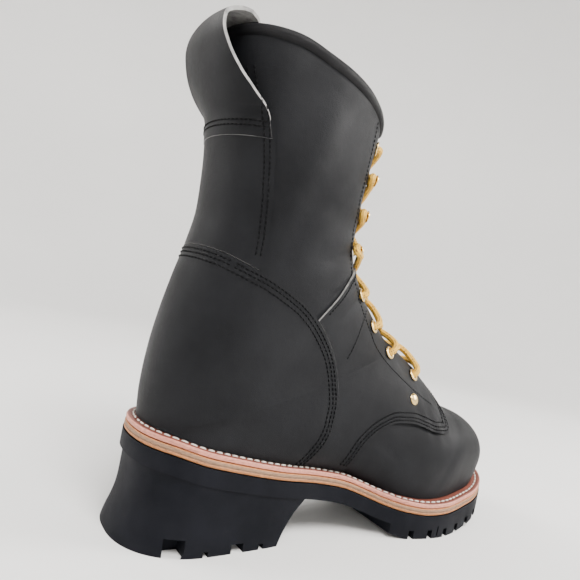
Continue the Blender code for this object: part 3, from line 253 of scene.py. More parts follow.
FACING_SEAM = (
    (0.357, 0.915), (0.357, 0.859), (0.355, 0.797), (0.353, 0.738), (0.357, 0.679), (0.367, 0.621),
    (0.387, 0.583), (0.410, 0.545), (0.433, 0.512), (0.463, 0.474), (0.495, 0.434), (0.540, 0.398),
    (0.617, 0.352), (0.700, 0.312),
)
SECOND_SEAM = ((0.455, 0.515), (0.430, 0.476), (0.410, 0.431), (0.392, 0.397))
# Loop at the back: rise, stand off the shaft and half width
LOOP_PATH = (
    (0.790, 0.135, 0.335), (0.822, 0.140, 0.325), (0.842, 0.200, 0.322), (0.866, 0.420, 0.316),
    (0.895, 0.680, 0.295), (0.930, 0.900, 0.262), (0.962, 1.000, 0.232), (0.988, 0.930, 0.212),
    (1.006, 0.650, 0.200), (1.016, 0.200, 0.196), (1.016, -0.300, 0.196), (1.006, -0.560, 0.196),
    (0.985, -0.560, 0.196), (0.950, -0.430, 0.196), (0.905, -0.360, 0.196),
)
# Lace hardware, as shares of the front line from the collar to the throat's foot
TOP_EYELET = 0.020
HOOKS = (0.122, 0.238, 0.350)
EYELETS = (0.500, 0.620, 0.745, 0.880)
RIVET = 0.935
RIVET_SPREAD = 0.0300

# Creases: place along and height as shares, direction in degrees, half length, width and depth in mm
CREASES = (
    (0.330, 0.620, 20, 26, 5.0, 0.7), (0.300, 0.690, -14, 30, 7.0, 0.6), (0.240, 0.760, 72, 34, 8.0, 0.6),
    (0.365, 0.560, 34, 18, 3.4, 0.8), (0.395, 0.520, 38, 16, 3.0, 0.7), (0.200, 0.640, 80, 26, 6.0, 0.5),
    (0.640, 0.300, -62, 15, 3.2, 0.6), (0.680, 0.285, -70, 15, 3.4, 0.7), (0.722, 0.270, -74, 14, 3.2, 0.6),
    (0.560, 0.200, -38, 20, 5.0, 0.5), (0.250, 0.380, 46, 26, 8.0, 0.5), (0.130, 0.330, 66, 24, 9.0, 0.4),
    (0.300, 0.850, 66, 30, 9.0, 0.6), (0.180, 0.880, 80, 26, 8.0, 0.5),
)


CREASE_LIP = 0.45
CREASE_LIP_PLACE = 1.7
CREASE_FADE = 0.015

# How finely the upper's form is sampled
SHAFT_STEPS = 56
FOOT_STEPS = 96
BLEND_ROWS = 5
BAND_STEP = 0.004

# How far the cutters above and below the upper reach
UNDER_LENGTH = 0.03
UNDER_HEIGHT = -0.05
OVER_HEIGHT = 0.42


def scaled(points: Iterable[Point], lift: float = 0.0, shift: float = 0.0) -> list[Point]:
    """Turn shares of length and height into places in side view, moved by a distance."""
    return [(x * SIZE.sole_length + shift, z * SIZE.boot_height + lift) for x, z in points]


def run_along(points: np.ndarray) -> np.ndarray:
    """Return the length of a line up to each of its points."""
    return np.concatenate([[0], np.cumsum(np.linalg.norm(np.diff(points, axis=0), axis=1))])


def directions(points: np.ndarray) -> np.ndarray:
    """Return the unit direction along a line at each of its points."""
    along = np.gradient(points, axis=0)
    return along / np.linalg.norm(along, axis=1)[:, None]


def beside(points: Sequence[Point], distance: float) -> np.ndarray:
    """Return a line moved sideways in side view.

    Args:
        points: the line, in metres.
        distance: how far it moves, to the left of its direction where positive.

    Returns:
        The moved line.
    """
    line = np.asarray(points, float)
    along = directions(line)
    return line + distance * np.stack([-along[:, 1], along[:, 0]], axis=1)


class Last:
    """The foot-shaped form that the sole and the leather follow."""

    plan = np.array(SOLE_PLAN)
    side_view = np.array(SOLE_SIDE)
    tread = np.array(TREAD_SIDE)
    heel_row = len(SHAFT_ROWS)
    toe_row = len(SHAFT_ROWS) + len(FOOT_ROWS) - 1
    rear_steps = 22
    front_steps = 26
    line_steps = 500
    fullness = 1.02
    fullest = 0.999
    facing_step = 0.15
    facing_reach = 1.5 * MM

    def __init__(self) -> None:
        """Work the tables out as lengths."""
        length, height, width = SIZE.sole_length, SIZE.boot_height, SIZE.ball_width
        rows = [(r * length, rr * height, f * length, fr * height, h * width, h * width, at)
                for r, rr, f, fr, h, at in SHAFT_ROWS]
        rows += [(foot * length, 0.0, f * length, fr * height, out * width, inn * width, at)
                 for foot, f, fr, out, inn, at in FOOT_ROWS]
        self.rows = np.array(rows)

    def sole_top(self, x: np.ndarray | float) -> np.ndarray:
        """Return the height of the rubber's top face.

        Args:
            x: the places along the sole.

        Returns:
            The heights.
        """
        along, heel, spring = self.side_view.T
        at = np.asarray(x) / SIZE.sole_length
        return (SIZE.sole_thickness + smooth(along, heel, at) * (SIZE.heel_height - SIZE.sole_thickness)
                + smooth(along, spring, at) * SIZE.toe_spring)

    def tread_bottom(self, x: np.ndarray | float) -> np.ndarray:
        """Return the height of the forefoot's walking face."""
        return SIZE.toe_spring * smooth(self.tread[:, 0], self.tread[:, 1], np.asarray(x) / SIZE.sole_length)

    def feather(self, x: np.ndarray | float) -> np.ndarray:
        """Return the height that the upper stands at."""
        return self.sole_top(x) + SIZE.midsole + SIZE.welt + 3 * SIZE.clearance

    def swing(self, x: np.ndarray | float) -> np.ndarray:
        """Return how far the middle line bends inwards."""
        return SIZE.ball_width * smooth(self.plan[:, 0], self.plan[:, 3], np.asarray(x) / SIZE.sole_length)

    def half_plan(self, x: np.ndarray | float, side: Side, inset: float) -> np.ndarray:
        """Return the sole's half width on a side, inside an inset.

        Args:
            x: the places along the sole.
            side: the side of the sole.
            inset: how far inside the sole's edge the line lies.

        Returns:
            The half widths.
        """
        x = np.asarray(x, float)
        column = 1 if side is Side.OUTER else 2
        length = SIZE.sole_length
        half = SIZE.ball_width * smooth(self.plan[:, 0], self.plan[:, column], x / length) - inset
        heel, toe = HEEL_ROUND[0] * length - inset, TOE_ROUND[0] * length - inset
        into_heel = np.clip((heel + inset - x) / heel, 0, 1)
        into_toe = np.clip((x - length + inset + toe) / toe, 0, 1)
        half = half * (1 - into_heel ** HEEL_ROUND[1]) ** (1 / HEEL_ROUND[1])
        return half * (1 - into_toe ** TOE_ROUND[1]) ** (1 / TOE_ROUND[1])

    @lru_cache(maxsize=None)
    def section(self, place: float) -> tuple[float, ...]:
        """Return a section: rear x and z, front x and z, at, middle, then each side's half and end.

        Args:
            place: the section's row, with a share of the way to the next.

        Returns:
            The section's numbers, in metres but for the share at which it is widest.
        """
        index = np.arange(len(self.rows))
        rear, rear_z, front, front_z, outer, inner, at = (
            float(smooth(index, self.rows[:, k], place)) for k in range(7))
        standing = place >= self.heel_row
        rear = min(rear, SIZE.sole_length - SIZE.welt_ledge)
        if standing:
            rear_z = float(self.feather(rear))
        elif place > self.heel_row - 1:
            share = place - (self.heel_row - 1)
            top_z = SHAFT_ROWS[-1][1] * SIZE.boot_height
            rear_z = top_z + share * (float(self.feather(FOOT_ROWS[0][0] * SIZE.sole_length)) - top_z)
        sides: list[float] = []
        for side, half in ((Side.OUTER, outer), (Side.INNER, inner)):
            end = float(self.half_plan(rear, side, SIZE.welt_ledge)) if place > self.heel_row else 0.0
            sides += [0.0, 0.0] if place >= self.toe_row - 1e-6 else [max(half, end * self.fullness), end]
        return (rear, rear_z, front, front_z, at, float(self.swing(0.5 * (rear + front))), *sides)

    def powers(self, place: float) -> tuple[float, float]:
        """Return the exponents of a section's rear and front lobes.

        Args:
            place: the section's row.

        Returns:
            The rear and the front exponent.
        """
        shares = (0, 6, self.heel_row, self.heel_row + 10, self.toe_row)
        return (float(smooth(shares, (2.0, 2.0, 2.1, 2.0, 2.0), place)),
                float(smooth(shares, (2.0, 2.0, 2.4, 2.3, 2.25), place)))

    def lobe(self, place: float, side: Side, across: float, along: float) -> np.ndarray:
        """Return the point at a half width and a share of the way to the section's front.

        Args:
            place: the section's row.
            side: the side of the boot.
            across: the half width.
            along: the share of the way from the section's rear to its front.

        Returns:
            The point.
        """
        rear, rear_z, front, front_z, _, middle = self.section(place)[:6]
        return np.array((rear + along * (front - rear), middle + side.value * across,
                         rear_z + along * (front_z - rear_z)))

    def half_section(self, place: float, side: Side) -> Route:
        """Return one side of a section from its rear or bottom end to its front, and the ways out.

        Args:
            place: the section's row.
            side: the side of the boot.

        Returns:
            The points and the ways out there.
        """
        cut = self.section(place)
        half, end = cut[6:8] if side is Side.OUTER else cut[8:10]
        count = self.rear_steps + self.front_steps + 1
        if half == 0:
            return np.tile(self.lobe(place, side, 0, 0), (count, 1)), np.tile((1.0, 0, 0), (count, 1))
        rear_power, front_power = self.powers(place)
        at = cut[4]
        chord = np.array((cut[2] - cut[0], 0.0, cut[3] - cut[1]))
        length = np.linalg.norm(chord)
        sideways = np.array((0.0, side.value, 0.0))
        last_turn = float(np.arccos(min(end / half, self.fullest) ** (rear_power / 2)))
        reach = at / sin(last_turn) ** (2 / rear_power)
        points, ways = [], []
        for k in range(self.rear_steps):
            turn = last_turn * (1 - k / self.rear_steps)
            points.append(self.lobe(place, side, half * cos(turn) ** (2 / rear_power),
                                    at - reach * sin(turn) ** (2 / rear_power)))
            ways.append(sideways * (cos(turn) ** (2 - 2 / rear_power) / half)
                        - chord / length * (sin(turn) ** (2 - 2 / rear_power) / (reach * length)))
        for k in range(self.front_steps + 1):
            turn = pi / 2 * k / self.front_steps
            level = max(cos(turn), 0.0)
            points.append(self.lobe(place, side, half * level ** (2 / front_power),
                                    at + (1 - at) * sin(turn) ** (2 / front_power)))
            ways.append(sideways * (level ** (2 - 2 / front_power) / half)
                        + chord / length * (sin(turn) ** (2 - 2 / front_power) / ((1 - at) * length)))
        points[0] = self.lobe(place, side, end, 0.0)
        ways = np.array(ways)
        return np.array(points), ways / np.linalg.norm(ways, axis=1)[:, None]

    def on_front(self, place: float, across: float, side: Side) -> np.ndarray:
        """Return the point of a section's front lobe at a distance from the middle line.

        Args:
            place: the section's row.
            across: the distance from the middle line.
            side: the side of the boot.

        Returns:
            The point.
        """
        cut = self.section(place)
        power = self.powers(place)[1]
        share = min(max(across / (cut[6] if side is Side.OUTER else cut[8]), 0.0), 1.0)
        return self.lobe(place, side, across, cut[4] + (1 - cut[4]) * (1 - share ** power) ** (1 / power))

    def on_rear(self, place: float, across: float) -> np.ndarray:
        """Return the point of a shaft section's rear lobe at a distance from the middle line.

        Args:
            place: the section's row.
            across: the distance from the middle line.

        Returns:
            The point.
        """
        cut = self.section(place)
        power = self.powers(place)[0]
        share = min(max(across / cut[6], 0.0), 1.0)
        return self.lobe(place, Side.OUTER, across, cut[4] * (1 - (1 - share ** power) ** (1 / power)))

    @lru_cache(maxsize=None)
    def rear_line(self, reach_mm: float) -> np.ndarray:
        """Return the shaft's rear line at a distance from the middle, in mm."""
        return np.array([self.on_rear(float(place), reach_mm * MM) for place in np.linspace(0, 6, 80)])

    @lru_cache(maxsize=None)
    def front_line(self) -> Route:
        """Return places from the collar to the throat's foot, with shares of the way.

        Returns:
            The places, and the share of the way down that each lies at.
        """
        places = np.linspace(0, self.toe_row, self.line_steps)
        line = np.array([self.section(float(place))[2:4] for place in places])
        collar = np.interp(line[:, 0], *np.array(scaled(COLLAR_LINE)).T)
        start = int(np.argmax(line[:, 1] < collar))
        stop = int(np.argmax(line[:, 0] > SIZE.throat_foot))
        steps = run_along(line[start:stop])
        return places[start:stop], steps / steps[-1]

    def facing(self, share: float, side: Side, across: float) -> tuple[Vector, Vector, Vector]:
        """Return a point beside the throat, with its way out and its way down the front.

        Args:
            share: the share of the way down the throat.
            side: the side of the boot.
            across: the distance from the middle line.

        Returns:
            The point, its way out and its way down.
        """
        places, shares = self.front_line()
        place = float(np.interp(share, shares, places))
        base = self.on_front(place, across, side)
        step, reach = self.facing_step, self.facing_reach
        down = self.on_front(place + step, across, side) - self.on_front(place - step, across, side)
        over = self.on_front(place, across + reach, side) - self.on_front(place, across - reach, side)
        out = np.cross(over, down)
        out = out if out[0] + out[2] > 0 else -out
        return Vector(base), Vector(out).normalized(), Vector(down).normalized()


LAST = Last()


class Bench:
    """Makes objects, cuts them, and finishes them in the frame of the solids."""

    def __init__(self) -> None:
        """Find how far the solids' frame is shifted from the tables' own."""
        low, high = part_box("midsole")
        x = np.linspace(SIZE.clearance, SIZE.sole_length - SIZE.clearance, 800)
        outer = LAST.swing(x) - LAST.half_plan(x, Side.OUTER, SIZE.clearance)
        self.shift = Vector((low[0] - SIZE.clearance, low[1] - float(outer.min()), 0.0))
        self.made: list[Piece] = []

    @staticmethod
    def raw(name: str, mesh: bmesh.types.BMesh) -> Piece:
        """Make an object of a bmesh.

        Args:
            name: the object's name.
            mesh: its shape, which is freed.

        Returns:
            The object.
        """
        data = bpy.data.meshes.new(name)
        mesh.to_mesh(data)
        mesh.free()
        piece = bpy.data.objects.new(name, data)
        bpy.context.scene.collection.objects.link(piece)
        return piece

    @staticmethod
    def cut(target: Piece, other: Piece, how: Cut) -> None:
        """Cut, keep or join with a closed piece, then remove that piece.

        Args:
            target: the piece that changes.
            other: the closed piece that is removed.
            how: what is done with it.
        """
        modifier = target.modifiers.new("cut", "BOOLEAN")
        modifier.operation = how.value
        modifier.solver = "MANIFOLD"
        modifier.object = other
        graph = bpy.context.evaluated_depsgraph_get()
        data = bpy.data.meshes.new_from_object(target.evaluated_get(graph))
        target.modifiers.clear()
        target.data = data
        bpy.data.objects.remove(other)

    def finish(self, piece: Piece, name: str, finishes: Sequence[bpy.types.Material], slot: str,
               nodes: Sequence[str] = (), angle: float = 38.0) -> Piece:
        """Place, shade and name a piece, attach it to the root, and hide the solids that it replaces.

        Args:
            piece: the object, in the tables' own frame.
            name: its name.
            finishes: its materials.
            slot: not used.
            nodes: the solids that it replaces.
            angle: the sharpest edge that is shaded smooth, in degrees.

        Returns:
            The piece.
        """
        piece.name = name
        piece.data.transform(Matrix.Translation(self.shift))
        if finishes:
            piece.data.materials.clear()
            piece.data.polygons.foreach_set("material_index", [0] * len(piece.data.polygons))
        for finish in finishes:
            piece.data.materials.append(finish)
        piece.data.shade_smooth()
        piece.data.set_sharp_from_angle(angle=radians(angle))
        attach(piece, "root")
        if nodes:
            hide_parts(*nodes)
        self.made.append(piece)
        LOG.info("%s: %d faces", name, len(piece.data.polygons))
        return piece


def grid_mesh(points: np.ndarray, wrap_rows: bool = False, wrap_columns: bool = False,
              caps: bool = False) -> bmesh.types.BMesh:
    """Shape a grid primitive into a surface, with its own UV map in rows and columns.

    Args:
        points: positions by row and column.
        wrap_rows: whether the last row is the first again.
        wrap_columns: whether the last column is the first again.
        caps: whether open ends are filled.

    Returns:
        The mesh, its doubles merged and its faces pointing out.
    """
    rows, columns = points.shape[:2]
    mesh = bmesh.new()
    bmesh.ops.create_grid(mesh, x_segments=rows - 1, y_segments=columns - 1, size=1.0, calc_uvs=False)
    layer = mesh.loops.layers.uv.new("UVMap")
    places = {}
    for vert in mesh.verts:
        row = round((vert.co.x + 1) / 2 * (rows - 1))
        column = round((vert.co.y + 1) / 2 * (columns - 1))
        places[vert] = (row, column)
    for face in mesh.faces:
        for loop in face.loops:
            row, column = places[loop.vert]
            loop[layer].uv = (row / (rows - 1), column / (columns - 1))
    for vert, (row, column) in places.items():
        vert.co = points[row, column]
    if wrap_rows or wrap_columns or caps:
        bmesh.ops.remove_doubles(mesh, verts=mesh.verts, dist=MERGE)
    if caps:
        bmesh.ops.holes_fill(mesh, edges=[edge for edge in mesh.edges if edge.is_boundary], sides=0)
    bmesh.ops.recalc_face_normals(mesh, faces=mesh.faces)
    return mesh


def join(mesh: bmesh.types.BMesh, other: bmesh.types.BMesh) -> None:
    """Add another mesh to a mesh, and free the other one.

    Args:
        mesh: the mesh that grows.
        other: the mesh that is freed.
    """
    shape = bpy.data.meshes.new("joined")
    other.to_mesh(shape)
    other.free()
    mesh.from_mesh(shape)


def prism(points: Sequence[Point], start: float = -CUTTER_REACH, end: float = CUTTER_REACH) -> Piece:
    """Extrude a closed outline in side view across the boot.

    Args:
        points: the outline.
        start: where it begins across the boot.
        end: where it ends across the boot.

    Returns:
        The prism.
    """
    mesh = bmesh.new()
    face = mesh.faces.new([mesh.verts.new((x, start, z)) for x, z in points])
    made = bmesh.ops.extrude_face_region(mesh, geom=[face])["geom"]
    moved = [item for item in made if isinstance(item, bmesh.types.BMVert)]
    bmesh.ops.translate(mesh, vec=(0, end - start, 0), verts=moved)
    bmesh.ops.recalc_face_normals(mesh, faces=mesh.faces)
    return Bench.raw("prism", mesh)


@lru_cache(maxsize=1)
def form_grid() -> tuple[np.ndarray, np.ndarray, list[float]]:
    """Return the upper's surface as a grid of points, their ways out, and the rows' places.

    Returns:
        The points, the ways out and the places, row by row.
    """
    shaft = list(np.linspace(0, LAST.heel_row, SHAFT_STEPS))
    foot = list(np.linspace(LAST.heel_row, LAST.toe_row, FOOT_STEPS)[1:])
    places = [float(place) for place in shaft + foot]
    points, ways = [], []
    for place in places:
        outer, outer_way = LAST.half_section(place, Side.OUTER)
        inner, inner_way = LAST.half_section(place, Side.INNER)
        points.append(np.concatenate([outer, inner[-2::-1]]))
        ways.append(np.concatenate([outer_way, inner_way[-2::-1]]))
    points, ways = np.array(points), np.array(ways)
    normal = np.cross(np.gradient(points, axis=0), np.gradient(points, axis=1))
    size = np.linalg.norm(normal, axis=2)[:, :, None]
    normal = np.where(size > 1e-12, normal / np.maximum(size, 1e-12), ways)
    normal *= np.where(np.sum(normal * ways, axis=2) < 0, -1.0, 1.0)[:, :, None]
    share = np.clip((np.array(places) - LAST.heel_row - BLEND_ROWS) / BLEND_ROWS, 0, 1)[:, None, None]
    mixed = ways * (1 - share) + normal * share
    mixed /= np.linalg.norm(mixed, axis=2)[:, :, None]
    mixed[-1] = (1.0, 0.0, 0.0)
    return points + mixed * creases(points)[:, :, None], mixed, places


def creases(points: np.ndarray) -> np.ndarray:
    """Return how far the leather's listed creases move each point out or in.

    Args:
        points: the surface's points by row and column.

    Returns:
        The distance that each point moves.
    """
    total = np.zeros(points.shape[:2])
    for along, rise, turn, half, width, depth in CREASES:
        x = points[:, :, 0] - along * SIZE.sole_length
        z = points[:, :, 2] - rise * SIZE.boot_height
        run = (x * cos(radians(turn)) + z * sin(radians(turn))) / (half * MM)
        off = (-x * sin(radians(turn)) + z * cos(radians(turn))) / (width * MM)
        trough = np.exp(-off ** 2) - CREASE_LIP * np.exp(-(np.abs(off) - CREASE_LIP_PLACE) ** 2)
        total -= depth * MM * trough * np.exp(-run ** 4)
    standing = points[:, :, 2] - LAST.feather(np.clip(points[:, :, 0], 0, SIZE.sole_length))
    return total * np.clip(standing / CREASE_FADE, 0, 1)


def form_solid(offset: float, longer: float = 0.0) -> Piece:
    """Return the closed form of the upper, grown or shrunk by an offset.

    Args:
        offset: how far the form is grown.
        longer: how far it is drawn out past the collar and the feather line.

    Returns:
        The form.
    """
    base, ways, places = form_grid()
    moved = ways * offset
    moved[0, :, 2] = 0.0
    points = base + moved
    points[0, :, 2] += longer
    depth = np.array((0, 0, SIZE.skirt + longer))
    standing = np.array([place >= LAST.heel_row for place in places])[:, None]
    first, last = (np.where(standing, points[:, end] * (1, 1, 0) + base[:, end] * (0, 0, 1) - depth,
                            points[:, end]) for end in (0, -1))
    grid = np.concatenate([first[:, None], points, last[:, None], first[:, None]], axis=1)
    mesh = grid_mesh(grid, wrap_columns=True)
    doubled = [face for face in mesh.faces if face.calc_area() < 1e-13]
    bmesh.ops.delete(mesh, geom=doubled, context="FACES_ONLY")
    flaps = [face for face in mesh.faces if any(edge.is_boundary for edge in face.edges)
             and any(len(edge.link_faces) > 2 for edge in face.edges)]
    bmesh.ops.delete(mesh, geom=flaps, context="FACES")
    bmesh.ops.dissolve_degenerate(mesh, dist=1e-7, edges=mesh.edges)
    bmesh.ops.holes_fill(mesh, edges=[edge for edge in mesh.edges if edge.is_boundary], sides=0)
    bmesh.ops.triangulate(mesh, faces=[face for face in mesh.faces if len(face.verts) == 4])
    bmesh.ops.recalc_face_normals(mesh, faces=mesh.faces)
    return Bench.raw("form", mesh)


def below_feather(lift: float) -> Piece:
    """Return the space under the upper's standing edge.

    Args:
        lift: how far the space is raised.

    Returns:
        The cutter.
    """
    x = np.linspace(-UNDER_LENGTH, SIZE.sole_length + UNDER_LENGTH, 120)
    z = LAST.feather(np.clip(x, 0, SIZE.sole_length)) + lift
    return prism(list(zip(x, z)) + [(x[-1], UNDER_HEIGHT), (x[0], UNDER_HEIGHT)])


def above_collar(lift: float) -> Piece:
    """Return the space above the collar's line.

    Args:
        lift: how far the space is raised.

    Returns:
        The cutter.
    """
    line = np.array(scaled(COLLAR_LINE, lift))
    x = np.linspace(line[0, 0], line[-1, 0], 60)
    z = smooth(line[:, 0], line[:, 1], x)
    return prism(list(zip(x, z)) + [(x[-1], OVER_HEIGHT), (x[0], OVER_HEIGHT)])


def side_curve(points: Sequence[Point], steps: int = 90) -> list[Point]:
    """Return a smooth line through points in side view, evenly spaced.

    Args:
        points: the points that it runs through.
        steps: how many points it gets.

    Returns:
        The line.
    """
    line = np.asarray(points, float)
    run = run_along(line)
    at = np.linspace(0, run[-1], steps)
    return list(zip(smooth(run, line[:, 0], at), smooth(run, line[:, 1], at)))


def front_band(end_x: float, width: float, inside: float, outside: float) -> tuple[Piece, Vector, Vector]:
    """Return a band that follows the front line, with its foot's place and way out.

    Args:
        end_x: the place along the sole where it ends.
        width: its width across the boot.
        inside: its depth inside the front line.
        outside: its depth outside the front line.

    Returns:
        The band, its foot's place and the way out there.
    """
    points: list[np.ndarray] = []
    for place in np.linspace(0, LAST.toe_row, 400):
        here = np.array(LAST.section(float(place))[2:4])
        if here[0] > end_x and place > LAST.heel_row:
            break
        if not points or np.linalg.norm(here - points[-1]) > BAND_STEP:
            points.append(here)
    line = np.array(points)
    outer, inner = beside(line, outside), beside(line, -inside)
    shape = list(map(tuple, outer)) + list(map(tuple, inner[::-1]))
    out = (outer[-1] - line[-1]) / outside
    foot = Vector((line[-1, 0], float(LAST.swing(line[-1, 0])) / 2, line[-1, 1]))
    return prism(shape, -width / 2, width / 2), foot, Vector((out[0], 0, out[1]))


def cut_throat(piece: Piece) -> None:
    """Cut the throat: a slot down the front with a round foot.

    Args:
        piece: the leather that is cut.
    """
    slot, foot, out = front_band(SIZE.throat_foot - SIZE.throat_width / 2, SIZE.throat_width,
                                 SIZE.throat_inside, SIZE.throat_outside)
    Bench.cut(piece, slot, Cut.AWAY)
    mesh = bmesh.new()
    turn = out.to_track_quat("Z", "Y").to_matrix().to_4x4()
    bmesh.ops.create_cone(mesh, cap_ends=True, segments=48, radius1=SIZE.throat_width / 2,
                          radius2=SIZE.throat_width / 2, depth=SIZE.throat_inside + SIZE.throat_outside,
                          matrix=Matrix.Translation(foot) @ turn)
    Bench.cut(piece, Bench.raw("round", mesh), Cut.AWAY)


def cut_holes(piece: Piece, shares: Sequence[float], sides: Sequence[Side]) -> None:
    """Cut the holes that the eyelets line.

    Args:
        piece: the leather that is cut.
        shares: the holes' shares of the way down.
        sides: the sides that get holes.
    """
    mesh = bmesh.new()
    for side in sides:
        for share in shares:
            base, out, _ = LAST.facing(share, side, SIZE.eyelet_spacing / 2)
            turn = out.to_track_quat("Z", "Y").to_matrix().to_4x4()
            bmesh.ops.create_cone(mesh, cap_ends=True, segments=24, radius1=SIZE.eyelet_hole,
                                  radius2=SIZE.eyelet_hole, depth=SIZE.hole_cutter,
                                  matrix=Matrix.Translation(base) @ turn)
    Bench.cut(piece, Bench.raw("holes", mesh), Cut.AWAY)


def skin(thickness: float, offset: float) -> Piece:
    """Return a closed skin of leather of a thickness, its inner face at an offset from the form.

    Args:
        thickness: the leather's thickness.
        offset: its inner face's distance from the form.

    Returns:
        The skin.
    """
    piece = form_solid(offset + thickness)
    Bench.cut(piece, form_solid(offset, SIZE.overrun), Cut.AWAY)
    Bench.cut(piece, below_feather(max(offset, 0.0)), Cut.AWAY)
    return piece


class Wiring:
    """Adds nodes to a tree and links them."""

    def __init__(self, tree: bpy.types.NodeTree) -> None:
        """Keep the tree."""
        self.tree = tree

    def put(self, socket: bpy.types.NodeSocket, value: object) -> None:
        """Link a socket to another one, or set its value.

        Args:
            socket: the input.
            value: a socket, or a value of the input's kind.
        """
        if isinstance(value, bpy.types.NodeSocket):
            self.tree.links.new(value, socket)
        else:
            socket.default_value = value

    def dress(self, shader: Node, colour: object, roughness: object, relief: Node | None = None) -> None:
        """Give a shader its colour, roughness and relief.

        Args:
            shader: the shader.
            colour: a colour's socket.
            roughness: a number or a socket.
            relief: the bump node, if the surface has one.
        """
        self.put(shader.inputs["Base Color"], colour)
        self.put(shader.inputs["Roughness"], roughness)
        if relief is not None:
            self.put(shader.inputs["Normal"], relief.outputs["Normal"])

    def add(self, kind: str, settings: dict[str, object] | None = None, **inputs: object) -> Node:
        """Add a node.

        Args:
            kind: the node's type.
            settings: its properties.
            inputs: its sockets by name, with underscores for spaces; a socket is linked, a value set.

        Returns:
            The node.
        """
        node = self.tree.nodes.new(kind)
        for key, value in (settings or {}).items():
            setattr(node, key, value)
        for key, value in inputs.items():
            numbered = key[0] == "i" and key[1:].isdigit()
            self.put(node.inputs[int(key[1:]) if numbered else key.replace("_", " ")], value)
        return node

    def sum(self, operation: str, first: object, second: object = 0.0) -> bpy.types.NodeSocket:
        """Add a Math node and return what it puts out."""
        return self.add("ShaderNodeMath", {"operation": operation}, i0=first, i1=second).outputs[0]

    def blend(self, factor: object, first: object, second: object) -> bpy.types.NodeSocket:
        """Mix two colours by a factor.

        Args:
            factor: how much of the second colour is taken.
            first: a colour or a socket.
            second: a colour or a socket.

        Returns:
            The socket with the mixed colour.
        """
        node = self.tree.nodes.new("ShaderNodeMix")
        node.data_type = "RGBA"
        for index, value in ((0, factor), (6, first), (7, second)):
            self.put(node.inputs[index], value)
        return node.outputs[2]

    def span(self, value: object, low: float, high: float, to_low: float,
             to_high: float) -> bpy.types.NodeSocket:
        """Map a value from one range to another."""
        return self.add("ShaderNodeMapRange", None, Value=value, From_Min=low, From_Max=high, To_Min=to_low,
                        To_Max=to_high).outputs[0]


def group(name: str, inputs: dict[str, float], outputs: Sequence[str],
          build: Callable[[Wiring, Node, Node], None]) -> bpy.types.NodeTree:
    """Make a shader node group, once.

    Args:
        name: its name.
        inputs: its numbers and what they are by default; it has a Vector too.
        outputs: the numbers that it puts out.
        build: fills it, given its wiring, its inputs' node and its outputs' node.

    Returns:
        The group.
    """
    if name in bpy.data.node_groups:
        return bpy.data.node_groups[name]
    tree = bpy.data.node_groups.new(name, "ShaderNodeTree")
    tree.interface.new_socket("Vector", in_out="INPUT", socket_type="NodeSocketVector")
    for key, value in inputs.items():
        tree.interface.new_socket(key, in_out="INPUT", socket_type="NodeSocketFloat").default_value = value
    for key in outputs:
        tree.interface.new_socket(key, in_out="OUTPUT", socket_type="NodeSocketFloat")
    build(Wiring(tree), tree.nodes.new("NodeGroupInput"), tree.nodes.new("NodeGroupOutput"))
    return tree


def grain_group() -> bpy.types.NodeTree:
    """Build the pores, fine folds and slow patches that every leather and the rubber use.

    Returns:
        The group.
    """
    def build(wire: Wiring, source: Node, result: Node) -> None:
        """Fill the group.

        Args:
            wire: its wiring.
            source: its inputs' node.
            result: its outputs' node.
        """
        vector, pores, patches = (source.outputs[k] for k in ("Vector", "Pores", "Patches"))
        cells = wire.add("ShaderNodeTexVoronoi", {"feature": "DISTANCE_TO_EDGE"}, Vector=vector, Scale=pores)
        pits = wire.span(cells.outputs["Distance"], 0.0, 0.25, 0.0, 1.0)
        folds = wire.add("ShaderNodeTexNoise", None, Vector=vector, Scale=wire.sum("MULTIPLY", pores, 0.22),
                         Detail=4.0)
        slow = wire.add("ShaderNodeTexNoise", None, Vector=vector, Scale=patches, Detail=5.0, Roughness=0.6)
        height = wire.sum("ADD", wire.sum("MULTIPLY", pits, 0.45), folds.outputs["Fac"])
        wire.tree.links.new(height, result.inputs["Height"])
        wire.tree.links.new(wire.span(slow.outputs["Fac"], 0.32, 0.68, 0.0, 1.0), result.inputs["Patch"])
    return group("grain", {"Pores": 1500.0, "Patches": 22.0}, ("Height", "Patch"), build)


def braid_group() -> bpy.types.NodeTree:
    """Build a round braid's strands and flecks, on a map in metres and turns.

    Returns:
        The group.
    """
    def build(wire: Wiring, source: Node, result: Node) -> None:
        """Fill the group.

        Args:
            wire: its wiring.
            source: its inputs' node.
            result: its outputs' node.
        """
        parts = wire.add("ShaderNodeSeparateXYZ", None, Vector=source.outputs["Vector"])
        run = wire.sum("MULTIPLY", parts.outputs["X"], source.outputs["Strands"])
        turn = wire.sum("MULTIPLY", parts.outputs["Y"], 4.0)
        one = wire.sum("SINE", wire.sum("MULTIPLY", wire.sum("ADD", run, turn), 2 * pi))
        two = wire.sum("SINE", wire.sum("MULTIPLY", wire.sum("SUBTRACT", run, turn), 2 * pi))
        weave = wire.sum("MULTIPLY", one, two)
        wire.tree.links.new(wire.span(weave, -1.0, 1.0, 0.0, 1.0), result.inputs["Height"])
        slow = wire.sum("SINE", wire.sum("MULTIPLY", wire.sum("ADD", wire.sum("MULTIPLY", run, 0.25),
                                                              wire.sum("MULTIPLY", turn, 0.25)), 2 * pi))
        wire.tree.links.new(wire.span(wire.sum("MULTIPLY", slow, weave), 0.45, 0.6, 0.0, 1.0),
                            result.inputs["Fleck"])
    return group("braid", {"Strands": 260.0}, ("Height", "Fleck"), build)


def new_material(name: str) -> tuple[bpy.types.Material, Wiring, Node]:
    """Make a material.

    Args:
        name: its name.

    Returns:
        The material, its wiring and its shader.
    """
    material = bpy.data.materials.new(name)
    material.use_nodes = True
    return material, Wiring(material.node_tree), material.node_tree.nodes["Principled BSDF"]


